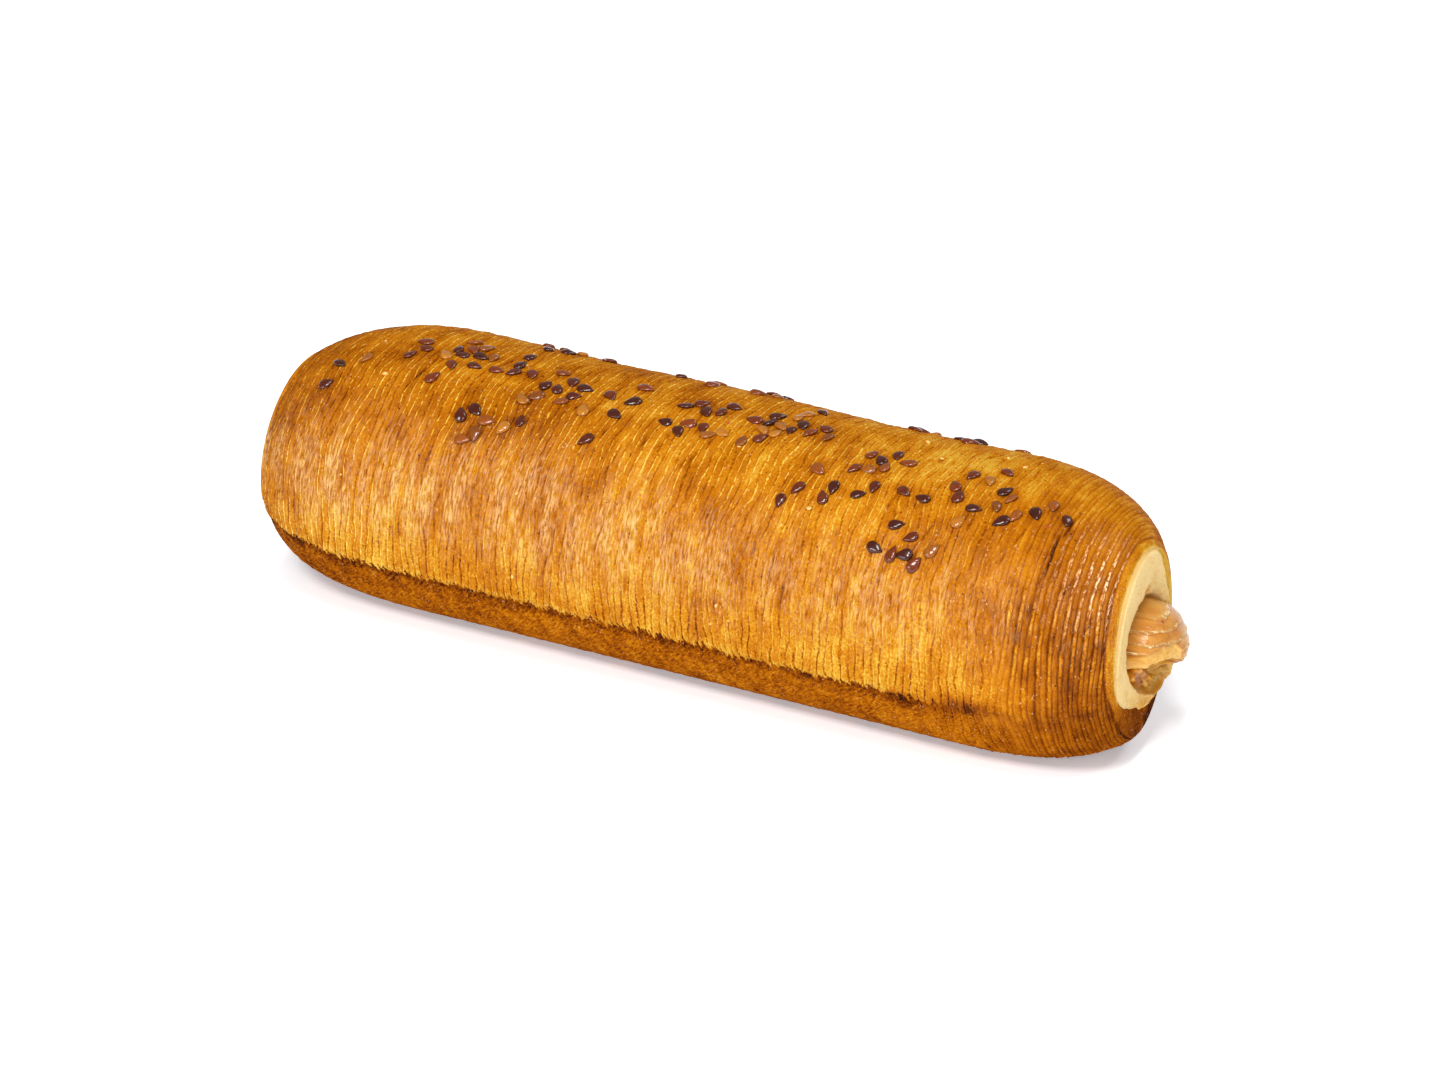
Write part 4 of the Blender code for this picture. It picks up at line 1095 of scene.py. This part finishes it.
# the small pieces: lumps to a metre with detail and roughness, the shares of lumps and of each piece's own shade,
# colours, how strong and deep the bump is, and the shader's own values
seedLook = {
    "lumps": (1100.0, 3.0, 0.6), "shares": (0.45, 0.6), "bump": (0.35, 0.0002),
    "shader": {"Roughness": 0.3, "Specular IOR Level": 0.12, "Coat Weight": 0.8, "Coat Roughness": 0.07},
}
chipLook = {"lumps": (1500.0, 2.0, 0.5), "shares": (1.0, 0.0), "bump": None, "shader": {"Roughness": 0.5}}
smallMaterials = {
    # processed cheese, melted and set again: oily, with rounded lights
    "meltedCheese": {
        "lumps": (900.0, 3.0, 0.5), "shares": (0.6, 1.0), "bump": (0.5, 0.0003),
        "tones": ((0.25, "#ffd964"), (0.5, "#eeb034"), (0.8, "#d08a1e"), (1.0, "#a86414")),
        "shader": {"Roughness": 0.3, "Specular IOR Level": 0.1, "Coat Weight": 0.2, "Coat Roughness": 0.1,
                   "Subsurface Weight": 0.1, "Subsurface Radius": (1.0, 0.6, 0.1), "Subsurface Scale": 0.002},
    },
    # sesame hull toasted under the glaze: dark and wet-looking, each seed its own shade
    "toastedSesame": {
        **seedLook, "tones": ((0.12, "#2a0902"), (0.4, "#481604"), (0.62, "#6c2a06"), (0.9, "#904c0c")),
    },
    # sesame that lost its colour: the amber wash shows through it
    "amberSesame": {**seedLook, "tones": ((0.15, "#5e2a05"), (0.45, "#86480a"), (0.8, "#ab6a18"))},
    # dried red pepper: thin, matt chips
    "driedPepper": {**chipLook, "tones": ((0.3, "#8e1d10"), (0.7, "#c0371c"))},
    # bits of sesame husk: papery and straw-coloured
    "huskChip": {**chipLook, "tones": ((0.3, "#d99a3e"), (0.7, "#eec57a"))},
}


def smallMaterial(name):
    plan = smallMaterials[name]
    material, tree, shader = newMaterial(name)
    made = {"own": addNode(tree, "ShaderNodeAttribute", {"attribute_name": "tone"}).outputs["Fac"],
            "place": addNode(tree, "ShaderNodeTexCoord").outputs["Object"]}
    lumps, ownShare = plan["shares"]
    workOut(tree, made, (
        ("lumps", ("noise", "place", *plan["lumps"])),
        ("tone", ("MULTIPLY", "own", ownShare)),
        *addShares("tone", {"lumps": lumps}),
    ))
    colour = addNode(tree, "ShaderNodeValToRGB", {}, {"Fac": made["tone"]}, plan["tones"]).outputs["Color"]
    setInputs(tree, shader, {"Base Color": colour, **plan["shader"]})
    if plan["bump"]:
        workOut(tree, made, [("relief", ("bumpy", "lumps", *plan["bump"]))])
        setInputs(tree, shader, {"Normal": made["relief"]})
    return material


softCrumb = crumbMaterial()
finishPiece(crustPiece, pastryMaterial(), "pastry_dough")
finishPiece(rightEndPiece, softCrumb, "pastry_dough")
finishPiece(leftEndPiece, softCrumb, "pastry_dough")
finishPiece(cheesePiece, smallMaterial("meltedCheese"), "cheese_filling")
for piece, name in ((darkPiece, "toastedSesame"), (amberPiece, "amberSesame"), (redPiece, "driedPepper"),
                    (flakePiece, "huskChip")):
    finishPiece(piece, smallMaterial(name), "pastry_dough")
print("materials on")


# pale floor, soft studio light and the camera where the photographer stood
studio = {
    "azimuth": 28.0, "elevation": 26.4, "distance": 1.22, "pixelsPerMm": 5.4,
    "middleX": 719.5, "middleY": 525.5, "imageWide": 1440, "imageHigh": 1082, "sensor": 36.0,
    "targetX": -1.42, "targetZ": 25.0,
    "world": 0.28, "lightTable": 0.30,
    "lights": (("keyBox", (0.15, -1.05, 1.14), (0.5, 0.35), 14.2),
               ("frontStrip", (-0.60, -1.50, 0.50), (0.9, 0.25), 8.0),
               ("topBox", (0.25, -0.60, 1.52), (0.4, 0.4), 12.5),
               ("rightBox", (1.30, -0.60, 0.90), (0.4, 0.4), 2.5),
               ("glintBox", (0.95, -0.05, 1.30), (0.2, 0.2), 2.5),
               ("backBox", (0.45, 0.95, 1.10), (0.5, 0.5), 4.0)),
}


def buildStudio():
    bm = bmesh.new()
    bmesh.ops.create_grid(bm, x_segments=1, y_segments=1, size=4.0)
    floor = newPiece("floor", meshOf("floor", bm))
    floor.data.transform(Matrix.Translation((0, 0, -0.2 * mm)))    # just under the foot
    material, tree, shader = newMaterial("paleFloor")
    setInputs(tree, shader, {"Base Color": hexColour("#ffffff"), "Roughness": 1.0, "Specular IOR Level": 0.0,
                             "Emission Color": hexColour("#e4f2ff"), "Emission Strength": studio["lightTable"]})
    floor.data.materials.append(material)

    azimuth, elevation = math.radians(studio["azimuth"]), math.radians(studio["elevation"])
    level = math.cos(elevation)
    back = Vector((math.sin(azimuth) * level, -math.cos(azimuth) * level, math.sin(elevation)))
    camera = newPiece("camera", bpy.data.cameras.new("camera"))
    target = Vector((studio["targetX"] * mm, 0, studio["targetZ"] * mm))
    camera.location = target + back * studio["distance"]
    camera.rotation_euler = back.to_track_quat("Z", "Y").to_euler()
    wide, high = studio["imageWide"], studio["imageHigh"]
    camera.data.lens = studio["distance"] / mm * studio["pixelsPerMm"] * studio["sensor"] / wide
    camera.data.shift_x = -(studio["middleX"] - wide / 2) / wide
    camera.data.shift_y = (studio["middleY"] - high / 2) / wide
    bpy.context.scene.camera = camera

    world = bpy.data.worlds.new("studio")
    world.use_nodes = True
    setInputs(world.node_tree, world.node_tree.nodes["Background"],
              {"Color": hexColour("#fdfcfa"), "Strength": studio["world"]})
    bpy.context.scene.world = world

    for name, place, size, power in studio["lights"]:
        light = newPiece(name, bpy.data.lights.new(name, "AREA"))
        light.data.shape = "RECTANGLE"
        light.data.size, light.data.size_y = size
        light.data.energy = power
        light.location = place
        light.rotation_euler = (Vector(place) - Vector((0, 0, 20 * mm))).to_track_quat("Z", "Y").to_euler()


buildStudio()
print("studio ready")
